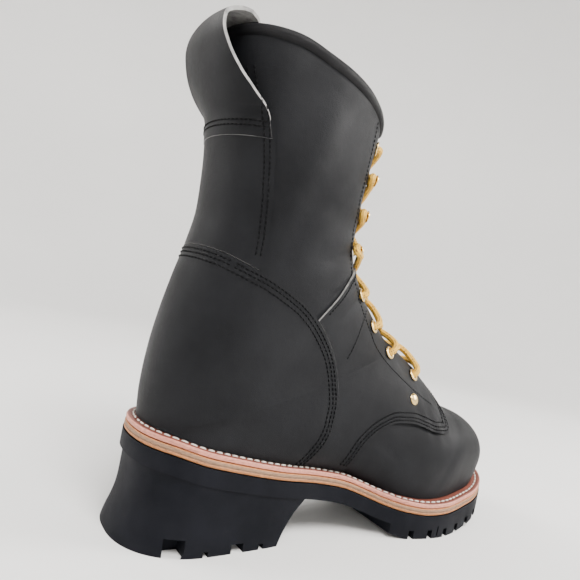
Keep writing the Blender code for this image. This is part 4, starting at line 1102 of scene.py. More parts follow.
@dataclass(frozen=True)
class Hide:
    """A leather or rubber finish: two tones in patches over a pored surface."""

    name: str
    dark: Colour
    light: Colour
    smoothest: float
    roughest: float
    pores: float = 1500.0
    patches: float = 22.0
    relief: float = 0.00012
    shine: float = 0.5

    def make(self) -> bpy.types.Material:
        """Build the finish.

        Returns:
            The material.
        """
        material, wire, shader = new_material(self.name)
        place = wire.add("ShaderNodeTexCoord").outputs["Object"]
        grain = wire.add("ShaderNodeGroup", {"node_tree": grain_group()}, Vector=place, Pores=self.pores,
                         Patches=self.patches)
        colour = wire.blend(grain.outputs["Patch"], (*self.dark, 1), (*self.light, 1))
        rough = wire.span(grain.outputs["Patch"], 0.0, 1.0, self.roughest, self.smoothest)
        bump = wire.add("ShaderNodeBump", None, Height=grain.outputs["Height"], Distance=self.relief,
                        Strength=0.8)
        wire.dress(shader, colour, rough, bump)
        shader.inputs["Specular IOR Level"].default_value = self.shine
        return material


@dataclass(frozen=True)
class Banded:
    """A strip's finish, in bands across its own map, with a fibrous surface."""

    name: str
    bands: tuple[tuple[float, Colour], ...]
    roughness: float
    relief: float = 0.00025

    def make(self) -> bpy.types.Material:
        """Build the finish.

        Returns:
            The material.
        """
        material, wire, shader = new_material(self.name)
        coords = wire.add("ShaderNodeTexCoord")
        parts = wire.add("ShaderNodeSeparateXYZ", None, Vector=coords.outputs["UV"])
        ramp = wire.add("ShaderNodeValToRGB", None, Fac=parts.outputs["Y"])
        ramp.color_ramp.interpolation = "CONSTANT"
        for index, (place, colour) in enumerate(self.bands):
            element = ramp.color_ramp.elements[0] if index == 0 else ramp.color_ramp.elements.new(place)
            element.position, element.color = place, (*colour, 1)
        ramp.color_ramp.elements.remove(ramp.color_ramp.elements[-1])
        stretched = wire.add("ShaderNodeMapping", None, Vector=coords.outputs["Object"], Scale=(1, 1, 3.5))
        fibre = wire.add("ShaderNodeTexNoise", None, Vector=stretched.outputs[0], Scale=420.0, Detail=6.0)
        worn = wire.span(fibre.outputs["Fac"], 0.35, 0.7, 0.72, 1.25)
        colour = wire.add("ShaderNodeVectorMath", {"operation": "SCALE"}, i0=ramp.outputs["Color"],
                          Scale=worn)
        bump = wire.add("ShaderNodeBump", None, Height=fibre.outputs["Fac"], Distance=self.relief,
                        Strength=0.9)
        wire.dress(shader, colour.outputs[0], self.roughness, bump)
        return material


@dataclass(frozen=True)
class Metal:
    """Polished brass with fine wear."""

    name: str = "polished_brass"
    colour: Colour = (0.83, 0.60, 0.25)
    worn: float = 0.72
    roughness: tuple[float, float] = (0.16, 0.34)

    def make(self) -> bpy.types.Material:
        """Build the finish.

        Returns:
            The material.
        """
        material, wire, shader = new_material(self.name)
        place = wire.add("ShaderNodeTexCoord").outputs["Object"]
        wear = wire.add("ShaderNodeTexNoise", None, Vector=place, Scale=600.0, Detail=5.0)
        dull = tuple(self.worn * part for part in self.colour)
        tone = wire.blend(wear.outputs["Fac"], (*dull, 1), (*self.colour, 1))
        wire.dress(shader, tone, wire.span(wear.outputs["Fac"], 0.3, 0.7, *self.roughness))
        shader.inputs["Metallic"].default_value = 1.0
        return material


@dataclass(frozen=True)
class Braid:
    """A round braided cord in two colours."""

    name: str = "braided_cord"
    main: Colour = (0.70, 0.40, 0.045)
    fleck: Colour = (0.13, 0.06, 0.02)
    relief: float = 0.0005
    roughness: float = 0.72

    def make(self) -> bpy.types.Material:
        """Build the finish.

        Returns:
            The material.
        """
        material, wire, shader = new_material(self.name)
        place = wire.add("ShaderNodeTexCoord").outputs["UV"]
        braid = wire.add("ShaderNodeGroup", {"node_tree": braid_group()}, Vector=place)
        colour = wire.blend(braid.outputs["Fleck"], (*self.main, 1), (*self.fleck, 1))
        bump = wire.add("ShaderNodeBump", None, Height=braid.outputs["Height"], Distance=self.relief,
                        Strength=1.0)
        wire.dress(shader, colour, self.roughness, bump)
        return material


@dataclass
class Palette:
    """Every finish of the boot."""

    leather: bpy.types.Material
    # cut edges: a raw edge's tone lifted to a pale grey, which is a painted highlight along each edge
    edge: bpy.types.Material
    lining: bpy.types.Material
    padded: bpy.types.Material
    rubber: bpy.types.Material
    welt: bpy.types.Material
    midsole: bpy.types.Material
    footbed: bpy.types.Material
    brass: bpy.types.Material
    cord: bpy.types.Material
    dark_thread: bpy.types.Material
    pale_thread: bpy.types.Material

    @classmethod
    def mix(cls) -> Palette:
        """Mix the boot's finishes.

        Returns:
            The palette.
        """
        red, pink = (0.16, 0.040, 0.024), (0.52, 0.20, 0.14)
        tan, fibre = (0.42, 0.17, 0.062), (0.25, 0.145, 0.085)
        return cls(
            leather=Hide("oiled_leather", (0.0035, 0.0038, 0.0048), (0.0090, 0.0095, 0.0112), 0.44, 0.60,
                         shine=0.12).make(),
            # pale grey of the cut edges: a raw edge tone with a painted highlight on it
            edge=Hide("raw_edge", (0.16, 0.16, 0.16), (0.42, 0.41, 0.40), 0.8, 0.9, 2600.0, 160.0).make(),
            lining=Hide("lining", (0.10, 0.065, 0.04), (0.15, 0.10, 0.065), 0.7, 0.85, 1100.0).make(),
            padded=Hide("collar_leather", (0.003, 0.003, 0.004), (0.008, 0.008, 0.009), 0.42, 0.56,
                        1200.0, 60.0, 0.0002, 0.16).make(),
            rubber=Hide("moulded_rubber", (0.0035, 0.004, 0.006), (0.0065, 0.007, 0.010), 0.55, 0.70, 2400.0,
                        40.0, 0.00008, 0.08).make(),
            welt=Banded("welt_finish", ((0.0, pink), (0.34, red)), 0.52, 0.00012).make(),
            midsole=Banded("midsole_finish", ((0.0, tan), (0.36, fibre), (0.70, tan)), 0.75).make(),
            footbed=Hide("footbed", (0.26, 0.16, 0.09), (0.38, 0.25, 0.15), 0.6, 0.75, 900.0).make(),
            brass=Metal().make(),
            cord=Braid().make(),
            dark_thread=Hide("black_thread", (0.0025, 0.0025, 0.003), (0.005, 0.005, 0.0055), 0.5, 0.65,
                             4000.0, shine=0.06).make(),
            pale_thread=Hide("pale_thread", (0.60, 0.56, 0.50), (0.74, 0.70, 0.64), 0.7, 0.8, 4000.0).make(),
        )


@dataclass
class Uppers:
    """The leather above the welt: shell, counter, quarters, back strap, collar and tongue."""

    bench: Bench
    paint: Palette
    edge_lean: float = 0.6
    counter_clear: float = 0.3 * MM
    strap_clear: float = 0.4 * MM
    strap_foot: float = 0.140
    loop_rows: int = 90
    loop_columns: int = 31
    loop_centre: float = 0.2
    loop_spread: float = 1.35
    loop_half_wall: float = 1.0 * MM
    roll_rows: int = 40
    roll_round: int = 25
    roll_end: float = 3.0 * MM
    roll_thinnest: float = 0.03
    roll_past_wall: float = 1.9 * MM
    roll_past_height: float = 0.3 * MM
    pucker: float = 0.03
    pucker_waves: tuple[float, float] = (9.0 * MM, 31.0 * MM)
    throat_spare: float = 0.5 * MM

    def __post_init__(self) -> None:
        """Keep the form's surface, to tell faces from cut edges."""
        mesh = grid_mesh(form_grid()[0])
        self.surface = BVHTree.FromBMesh(mesh)
        mesh.free()
        beside_shaft = Vector((0.06, -0.06, 0.15))
        self.sense = 1.0 if self.surface.find_nearest(beside_shaft)[1].y < 0 else -1.0

    def mark(self, piece: Piece, lined: bool) -> None:
        """Give cut edges a pale grey, partly their raw tone and partly a painted highlight, and lined insides
        materials of their own.

        Args:
            piece: the leather, in the tables' own frame.
            lined: whether its inner face is lined.
        """
        palette = [self.paint.leather, self.paint.edge, self.paint.lining]
        piece.data.materials.clear()
        for finish in palette[:3 if lined else 2]:
            piece.data.materials.append(finish)
        for face in piece.data.polygons:
            _, out, _, _ = self.surface.find_nearest(face.center)
            facing = self.sense * out.dot(face.normal)
            # edge faces take the pale grey with its painted highlight
            face.material_index = 1 if abs(facing) < self.edge_lean else (2 if facing < 0 and lined else 0)

    def build_shell(self) -> None:
        """Build the hollow upper."""
        shell = skin(SIZE.wall, -SIZE.wall)
        Bench.cut(shell, above_collar(0.0), Cut.AWAY)
        cut_throat(shell)
        cut_holes(shell, EYELETS + (TOP_EYELET,), tuple(Side))
        self.mark(shell, True)
        self.bench.finish(shell, "vamp_and_shaft", (), "black_leather", ("upper",))

    def build_counter(self) -> None:
        """Build the heel counter."""
        piece = skin(SIZE.counter, SIZE.skin_gap)
        edge = side_curve(scaled(COUNTER_EDGE))
        Bench.cut(piece, prism(edge + [(edge[0][0], edge[-1][1])]), Cut.KEEP)
        self.mark(piece, False)
        self.bench.finish(piece, "counter", (), "black_leather", ("heel_counter",))

    def build_quarter(self, side: Side) -> None:
        """Build one quarter, from the counter to the throat and over the vamp.

        Args:
            side: the side of the boot.
        """
        piece = skin(SIZE.overlay, SIZE.skin_gap)
        middle = float(LAST.swing(SIZE.throat_foot)) / 2
        limits = ((-CUTTER_REACH, middle - SIZE.quarter_gap) if side is Side.OUTER
                  else (middle + SIZE.quarter_gap, CUTTER_REACH))
        seam, vamp = side_curve(scaled(CROSS_SEAM)), side_curve(scaled(VAMP_EDGE))
        outline = seam + [(vamp[-1][0], seam[-1][1])] + vamp[::-1] + [(seam[0][0], vamp[0][1])]
        Bench.cut(piece, prism(outline, *limits), Cut.KEEP)
        edge = side_curve(scaled(COUNTER_EDGE, self.counter_clear, self.counter_clear))
        Bench.cut(piece, prism(edge + [(edge[0][0], -0.05)]), Cut.AWAY)
        cut_throat(piece)
        cut_holes(piece, EYELETS, (side,))
        self.mark(piece, False)
        self.bench.finish(piece, f"quarter_leather_{side.word}", (), "black_leather",
                          (f"quarter_{side.word}",))

    def loop(self) -> Piece:
        """Build the pull loop's strip, from the shaft over the collar and down inside.

        Returns:
            The strip.
        """
        table = np.array(LOOP_PATH)
        places = np.linspace(0, len(table) - 1, self.loop_rows)
        index = np.arange(len(table))
        rises = smooth(index, table[:, 0] * SIZE.boot_height, places)
        stands = smooth(index, table[:, 1] * SIZE.loop_stand, places)
        halves = smooth(index, table[:, 2] * SIZE.ball_width, places)
        seated = np.clip(stands, None, SIZE.loop_seat)
        free = np.clip((stands - seated) / (SIZE.loop_stand - SIZE.loop_seat), 0, 1)
        across = np.linspace(-1, 1, self.loop_columns)
        grid = np.zeros((len(places), len(across), 3))
        for k, share in enumerate(across):
            for row, (rise, half) in enumerate(zip(rises, halves)):
                reach = abs(share) * half * (1 - SIZE.loop_flat * free[row])
                rear = LAST.rear_line(round(reach / MM, 1))
                x = float(np.interp(-min(rise, SIZE.boot_height), -rear[:, 2], rear[:, 0]))
                grid[row, k] = (x, share * half, rise)
        out = grid[:, :, :2] - np.array([SIZE.sole_length * self.loop_centre, 0.0])
        out[:, :, 1] *= self.loop_spread
        out /= np.linalg.norm(out, axis=2)[:, :, None]
        grid[:, :, :2] += out * seated[:, None, None]
        grid[:, :, 0] -= (stands - seated)[:, None]
        normal = np.cross(np.gradient(grid, axis=0), np.gradient(grid, axis=1))
        normal /= np.linalg.norm(normal, axis=2)[:, :, None]
        normal = -normal if normal[1, self.loop_columns // 2, 0] > 0 else normal
        outer, inner = grid + normal * self.loop_half_wall, grid - normal * self.loop_half_wall
        ring = np.concatenate([outer, inner[:, ::-1], outer[:, :1]], axis=1)
        return Bench.raw("loop", grid_mesh(ring, wrap_columns=True, caps=True))

    def build_strap(self) -> None:
        """Build the wide strap up the back with its pull loop."""
        piece = skin(SIZE.strap, SIZE.skin_gap)
        edge = side_curve(scaled(STRAP_EDGE))
        counter = side_curve(scaled(COUNTER_EDGE, self.strap_clear))
        top = LOOP_PATH[1][0] * SIZE.boot_height
        lower = [point for point in counter if point[0] < edge[0][0] and point[1] > self.strap_foot]
        upper = [point for point in edge if point[1] > lower[-1][1]]
        outline = lower + upper + [(edge[-1][0], top), (lower[0][0], top)]
        Bench.cut(piece, prism(outline), Cut.KEEP)
        Bench.cut(piece, self.loop(), Cut.JOIN)
        self.mark(piece, False)
        self.bench.finish(piece, "back_strap", (), "black_leather", ("backstay",))

    def build_collar(self) -> None:
        """Build the padded roll round the top line, from one edge of the throat to the other."""
        base, ways, _ = form_grid()
        line = np.array(scaled(COLLAR_LINE))
        path, outs = [], []
        count = base.shape[1]
        order = list(range(count // 2 + 1, count)) + list(range(1, count // 2))
        for k in order:
            rows = base[:self.roll_rows, k]
            above = rows[:, 2] - smooth(line[:, 0], line[:, 1], rows[:, 0])
            at = float(np.interp(0.0, -above, np.arange(self.roll_rows)))
            low = int(at)
            point = rows[low] + (at - low) * (rows[low + 1] - rows[low])
            in_front = point[0] > 0.3 * SIZE.sole_length
            if in_front and abs(point[1]) < SIZE.throat_width / 2 + self.throat_spare:
                continue
            path.append(point)
            outs.append(ways[low, k])
        path, outs = np.array(path), np.array(outs)
        run = run_along(path)
        ends = np.clip(np.minimum(run, run[-1] - run) / self.roll_end, 0, 1)
        taper = np.sqrt(1 - (1 - ends) ** 2) * (1 - self.roll_thinnest) + self.roll_thinnest
        short, long = self.pucker_waves
        pucker = 1 + self.pucker * np.sin(run / short) * np.sin(run / long)
        turn = np.linspace(0, 2 * pi, self.roll_round)
        half_wide = 0.5 * SIZE.wall + self.roll_past_wall
        half_high = 0.5 * SIZE.collar_roll + self.roll_past_height
        middle = path - outs * 0.5 * SIZE.wall + np.array((0, 0, 0.5 * SIZE.collar_roll))
        size = (taper * pucker)[:, None, None]
        tube = (middle[:, None] + size * half_wide * np.cos(turn)[None, :, None] * outs[:, None]
                + size * half_high * np.sin(turn)[None, :, None] * np.array((0, 0, 1.0)))
        piece = Bench.raw("roll", grid_mesh(tube, wrap_columns=True, caps=True))
        self.bench.finish(piece, "padded_collar", (self.paint.padded,), "black_leather", ("collar_roll",), 60)

    def build_tongue(self) -> None:
        """Build the tongue behind the throat."""
        face = -SIZE.wall - SIZE.tongue_gap
        piece = form_solid(face)
        Bench.cut(piece, form_solid(face - SIZE.tongue_wall, SIZE.overrun), Cut.AWAY)
        Bench.cut(piece, above_collar(SIZE.tongue_rise), Cut.AWAY)
        band, _, _ = front_band(SIZE.throat_foot + SIZE.tongue_tuck, SIZE.tongue_width, SIZE.tongue_inside,
                                SIZE.throat_outside)
        Bench.cut(piece, band, Cut.KEEP)
        self.mark(piece, True)
        self.bench.finish(piece, "tongue_leather", (), "black_leather", ("tongue",))

    def build(self) -> None:
        """Build every leather piece."""
        self.build_shell()
        self.build_counter()
        for side in Side:
            self.build_quarter(side)
        self.build_strap()
        self.build_collar()
        self.build_tongue()


@dataclass
class Sole:
    """The rubber unit with the midsole and the welt over it."""

    bench: Bench
    paint: Palette
    loop_steps: int = 300
    cut_below: float = 1.5 * MM
    groove_inset: float = 7.0 * MM
    groove_turn: float = radians(12)
    slit_size: Triple = (1.1 * MM, 1.6 * MM, 7.0 * MM)
    slit_shift: float = 6.0 * MM
    slit_height: float = 5.0 * MM
    notch_inset: float = 2.5 * MM
    notch_depth: float = 11.0 * MM
    rim: float = 17.0 * MM

    def slab(self, start: float, bottom: Callable, top: Callable, rows: int = 120) -> Piece:
        """Return a closed plate from a place along the sole to the toe.

        Args:
            start: where the plate begins.
            bottom: its lower face's height, by place along the sole.
            top: its upper face's height, by place along the sole.
            rows: how many places are sampled.

        Returns:
            The plate.
        """
        x = start + (SIZE.sole_length - start) * (1 - np.cos(np.linspace(0, pi, rows))) / 2
        outer = LAST.swing(x) - LAST.half_plan(x, Side.OUTER, 0.0)
        inner = LAST.swing(x) + LAST.half_plan(x, Side.INNER, 0.0)
        share = np.linspace(0, 1, 13)[None, :]
        y = outer[:, None] + share * (inner - outer)[:, None]
        low = np.stack([np.tile(x[:, None], 13), y, np.tile(bottom(x)[:, None], 13)], axis=2)
        high = low.copy()
        high[:, :, 2] = top(x)[:, None]
        ring = np.concatenate([low, high[:, ::-1], low[:, :1]], axis=1)
        return Bench.raw("slab", grid_mesh(ring, wrap_columns=True, caps=True))

    def heel(self) -> Piece:
        """Return the heel block, with its waist, flare and slanted breast.

        Returns:
            The block, from the floor up into the arch.
        """
        round_length = HEEL_ROUND[0] * SIZE.sole_length
        table = np.array(HEEL_LEVELS)
        rows = []
        for level in np.linspace(0, 1, 16):
            flare, waist, lean = (float(smooth(table[:, 0], table[:, k], level)) for k in (1, 2, 3))
            back = flare * SIZE.heel_flare - waist * SIZE.heel_waist
            breast = SIZE.heel_breast + lean * SIZE.breast_lean
            x = np.concatenate([round_length * (1 - np.cos(np.linspace(0, pi / 2, 26))),
                                np.linspace(round_length, breast, 14)[1:]])
            lines = []
            for side in Side:
                half = LAST.half_plan(x, side, 0.0)
                half = np.where(half > 0, half + back * SIZE.heel_side, half)
                fade = np.clip(1 - x / round_length, 0, 1)
                lines.append(np.stack([x - back * fade, side.value * half], axis=1))
            ring = np.concatenate([lines[0], lines[1][:0:-1], lines[0][:1]])
            z = level * (LAST.sole_top(np.clip(ring[:, 0], 0, None)) - SIZE.arch_thickness / 2)
            rows.append(np.concatenate([ring, z[:, None]], axis=1))
        return Bench.raw("heel", grid_mesh(np.array(rows), wrap_columns=True, caps=True))

    @staticmethod
    def boxes(places: Iterable[Box]) -> Piece:
        """Return cutters: boxes by centre, size and turn.

        Args:
            places: the boxes' centres, sizes and turns.

        Returns:
            The cutters, as one piece.
        """
        mesh = bmesh.new()
        for centre, size, turn in places:
            spin = Matrix.Rotation(turn, 4, "Z")
            matrix = Matrix.Translation(centre) @ spin @ Matrix.Diagonal((*size, 1.0))
            bmesh.ops.create_cube(mesh, size=1.0, matrix=matrix)
        return Bench.raw("boxes", mesh)

    def edge_cuts(self) -> list[Box]:
        """Return the grooves of the forefoot's rim and the notches of the heel.

        Returns:
            The cutters' centres, sizes and turns.
        """
        cuts = []
        depth = SIZE.lug_depth
        for along in SIDE_GROOVES:
            x = along * SIZE.sole_length
            for side in Side:
                edge = float(LAST.swing(x)) + side.value * float(LAST.half_plan(x, side, 0.0))
                bottom, turn = float(LAST.tread_bottom(x)), side.value * self.groove_turn
                centre = Vector((x, edge - side.value * self.groove_inset,
                                 bottom + depth / 2 - self.cut_below))
                cuts.append((centre, (SIZE.lug_groove, SIZE.lug_length, depth + 2 * self.cut_below), turn))
                slit = Vector((x + self.slit_shift, edge, bottom + self.slit_height))
                cuts.append((slit, self.slit_size, turn))
        for along, wide, high in HEEL_NOTCHES:
            x, high = along * SIZE.sole_length, high * SIZE.heel_height
            for side in Side:
                edge = side.value * float(LAST.half_plan(x, side, 0.0))
                centre = Vector((x, edge - side.value * self.notch_inset, high / 2 - self.cut_below))
                size = (wide * SIZE.heel_breast, self.notch_depth, high + 2 * self.cut_below)
                cuts.append((centre, size, 0.0))
        return cuts

    def middle_cuts(self) -> list[Box]:
        """Return the grooves across the middle of the forefoot.

        Returns:
            The cutters' centres, sizes and turns.
        """
        cuts = []
        for along in CENTRE_GROOVES:
            x = along * SIZE.sole_length
            wide = 2 * (float(LAST.half_plan(x, Side.INNER, 0.0)) - self.rim) + SIZE.lug_groove
            height = float(LAST.tread_bottom(x)) + SIZE.lug_depth / 2 - self.cut_below
            cuts.append((Vector((x, float(LAST.swing(x)), height)),
                         (SIZE.lug_groove, wide, SIZE.lug_depth + 2 * self.cut_below), 0.0))
        return cuts

    def build_rubber(self) -> None:
        """Build the lugged rubber unit."""
        unit = self.slab(0.0, lambda x: LAST.sole_top(x) - SIZE.arch_thickness, LAST.sole_top)
        Bench.cut(unit, self.heel(), Cut.JOIN)
        tread = self.slab(TREAD_SIDE[0][0] * SIZE.sole_length, LAST.tread_bottom,
                          lambda x: LAST.sole_top(x) - SIZE.arch_thickness / 2)
        Bench.cut(unit, tread, Cut.JOIN)
        for cut in self.edge_cuts() + self.middle_cuts():
            Bench.cut(unit, self.boxes([cut]), Cut.AWAY)
        self.bench.finish(unit, "lugged_rubber", (self.paint.rubber,), "rubber", ("outsole",), 32)

    def ring(self, profile: Sequence[Point], base: Callable) -> np.ndarray:
        """Return a profile carried round the sole's outline.

        Args:
            profile: insets from the sole's edge and heights, in metres.
            base: the height that the profile stands on, by place along the sole.

        Returns:
            The points, one row for each step round the sole.
        """
        turn = np.linspace(0, 2 * pi, self.loop_steps + 1)
        columns = []
        for inset, height in profile:
            x = inset + (SIZE.sole_length - 2 * inset) * (1 - np.cos(turn)) / 2
            outer = LAST.swing(x) - LAST.half_plan(x, Side.OUTER, inset)
            inner = LAST.swing(x) + LAST.half_plan(x, Side.INNER, inset)
            y = np.where(turn <= pi, outer, inner)
            columns.append(np.stack([x, y, base(x) + height], axis=1))
        return np.stack(columns, axis=1)

    def strip(self, profile: Sequence[Point], base: Callable) -> Piece:
        """Return a closed strip round the sole.

        Args:
            profile: insets from the sole's edge and heights, in mm.
            base: the height that the strip lies on, by place along the sole.

        Returns:
            The strip.
        """
        mm = [(inset * MM, height * MM) for inset, height in profile]
        return Bench.raw("strip", grid_mesh(self.ring(mm + mm[:1], base), wrap_rows=True, wrap_columns=True))

    def build_layers(self) -> None:
        """Build the midsole and the welt."""
        top = SIZE.midsole / MM
        midsole = self.strip(((24, 0), (1.2, 0), (0.5, 0.5), (0.35, 1.7), (0.9, 2.15), (0.45, 2.6),
                              (0.5, top - 0.6), (1.1, top), (24, top)),
                             lambda x: LAST.sole_top(x) + SIZE.clearance)
        self.bench.finish(midsole, "midsole_layers", (self.paint.midsole,), "midsole_leather",
                          ("midsole",), 50)
        floor = SIZE.midsole + 2 * SIZE.clearance
        welt = self.strip(((11.2, 0), (1.6, 0), (0.8, 0.5), (0.65, 2.0), (1.1, 2.9), (2.1, 3.35), (3.3, 3.3),
                           (4.0, 2.9), (4.9, 2.9), (5.6, 3.3), (6.6, 3.4), (11.2, 3.4)),
                          lambda x: LAST.sole_top(x) + floor)
        self.bench.finish(welt, "welt_strip", (self.paint.welt,), "welt_leather", ("welt",), 50)

    def build(self) -> None:
        """Build the whole sole."""
        self.build_rubber()
        self.build_layers()


@dataclass
class Hardware:
    """Brass eyelets, hooks and rivets on both facings."""

    bench: Bench
    paint: Palette
    seat: float = 0.2 * MM
    # Outlines of the brass, in mm
    ring_radius: float = 3.5
    ring_half: tuple[float, float] = (1.15, 0.75)
    ring_height: float = 0.55
    hook_path: tuple[Point, ...] = ((3.6, 0.3), (0.0, 0.3), (-2.6, 0.35), (-3.6, 1.3), (-3.5, 3.0),
                                    (-2.4, 4.4), (-0.4, 5.1), (2.0, 5.2), (4.2, 5.4), (5.4, 6.1))
    hook_half_width: tuple[float, ...] = (2.6, 3.6, 3.4, 2.6, 2.2, 2.3, 3.1, 3.9, 3.6, 1.6)
    hook_half_wall: float = 0.5
    hook_squareness: float = 0.45

    @staticmethod
    def lift(share: float) -> float:
        """Return the leather's face above the form at a place down the front."""
        return SIZE.overlay + SIZE.skin_gap if share > HOOKS[-1] else 0.0

    def stand(self, share: float, side: Side, across: float) -> Matrix:
        """Return the matrix that stands a small piece on the facing.

        Args:
            share: the share of the way down the throat.
            side: the side of the boot.
            across: the distance from the middle line.

        Returns:
            The matrix.
        """
        base, out, down = LAST.facing(share, side, across)
        over = out.cross(down).normalized()
        turn = Matrix((over.cross(out), over, out)).transposed().to_4x4()
        return Matrix.Translation(base + out * (self.lift(share) + self.seat)) @ turn

    @staticmethod
    def turned(mesh: bmesh.types.BMesh, profile: Sequence[Point], closed: bool, matrix: Matrix) -> None:
        """Spin a profile into a ring or a dome.

        Args:
            mesh: the mesh that takes it, empty so far.
            profile: radii and heights, in mm.
            closed: whether the profile's last point joins its first.
            matrix: where the piece stands.
        """
        verts = [mesh.verts.new((radius * MM, 0, height * MM)) for radius, height in profile]
        edges = [mesh.edges.new(pair) for pair in zip(verts, verts[1:] + (verts[:1] if closed else []))]
        bmesh.ops.spin(mesh, geom=verts + edges, cent=(0, 0, 0), axis=(0, 0, 1), dvec=(0, 0, 0), angle=2 * pi,
                       steps=32, use_merge=True, use_duplicate=False)
        bmesh.ops.remove_doubles(mesh, verts=mesh.verts, dist=MERGE)
        bmesh.ops.recalc_face_normals(mesh, faces=mesh.faces)
        bmesh.ops.transform(mesh, matrix=matrix, verts=mesh.verts)

    def keep(self, mesh: bmesh.types.BMesh, name: str) -> None:
        """Finish a small piece of brass that replaces the solid of a name."""
        self.bench.finish(Bench.raw(name, mesh), f"brass_{name}", (self.paint.brass,), "brass", (name,), 60)

    def build_eyelet(self, number: int, share: float, side: Side) -> None:
        """Build a rolled eyelet.

        Args:
            number: its number, counted down the throat.
            share: its share of the way down the throat.
            side: the side of the boot.
        """
        mesh = bmesh.new()
        wide, high = self.ring_half
        profile = [(self.ring_radius + wide * cos(turn), self.ring_height + high * sin(turn))
                   for turn in np.linspace(0, 2 * pi, 13)[:-1]]
        self.turned(mesh, profile, True, self.stand(share, side, SIZE.eyelet_spacing / 2))
        self.keep(mesh, f"eyelet_{side.word}_{number}")

    def build_hook(self, number: int, share: float, side: Side) -> None:
        """Build a speed hook: a riveted foot and a curled, round-lipped tongue.

        Args:
            number: its number, counted down the throat.
            share: its share of the way down the throat.
            side: the side of the boot.
        """
        table = np.column_stack([self.hook_path, self.hook_half_width])
        rows = np.linspace(0, len(table) - 1, 40)
        y, z, half = (smooth(np.arange(len(table)), column, rows) for column in table.T)
        along = directions(np.column_stack([y, z]))
        turn = np.linspace(0, 2 * pi, 17)
        wing = np.sign(np.cos(turn)) * np.abs(np.cos(turn)) ** self.hook_squareness
        thick = np.sin(turn) * self.hook_half_wall
        grid = np.zeros((len(rows), len(turn), 3))
        grid[:, :, 0] = half[:, None] * wing[None, :]
        grid[:, :, 1] = (y[:, None] - along[:, 1:] * thick[None, :]) * side.value
        grid[:, :, 2] = z[:, None] + along[:, :1] * thick[None, :]
        mesh = grid_mesh(grid * MM, wrap_columns=True, caps=True)
        stand = self.stand(share, side, SIZE.eyelet_spacing / 2)
        bmesh.ops.transform(mesh, matrix=stand, verts=mesh.verts)
        dome = bmesh.new()
        dome_profile = [(2.1 * cos(t), 0.7 + 0.8 * sin(t)) for t in np.linspace(0, pi / 2, 6)]
        self.turned(dome, [(2.1, 0.2)] + dome_profile, False, stand)
        join(mesh, dome)
        self.keep(mesh, f"speed_hook_{side.word}_{number}")

    def build_rivet(self, side: Side) -> None:
        """Build the domed rivet at the throat's foot.

        Args:
            side: the side of the boot.
        """
        mesh = bmesh.new()
        dome = [(4.1, 0.0), (4.2, 0.35)]
        dome += [(3.7 * cos(t), 0.6 + 1.1 * sin(t)) for t in np.linspace(0, pi / 2, 8)]
        self.turned(mesh, dome, False, self.stand(RIVET, side, RIVET_SPREAD))
        self.keep(mesh, f"rivet_{side.word}")

    def build(self) -> None:
        """Build the hardware of both sides."""
        for side in Side:
            for number, share in enumerate(EYELETS + (TOP_EYELET,), 1):
                self.build_eyelet(number, share, side)
            for number, share in enumerate(HOOKS, 1):
                self.build_hook(number, share, side)
            self.build_rivet(side)


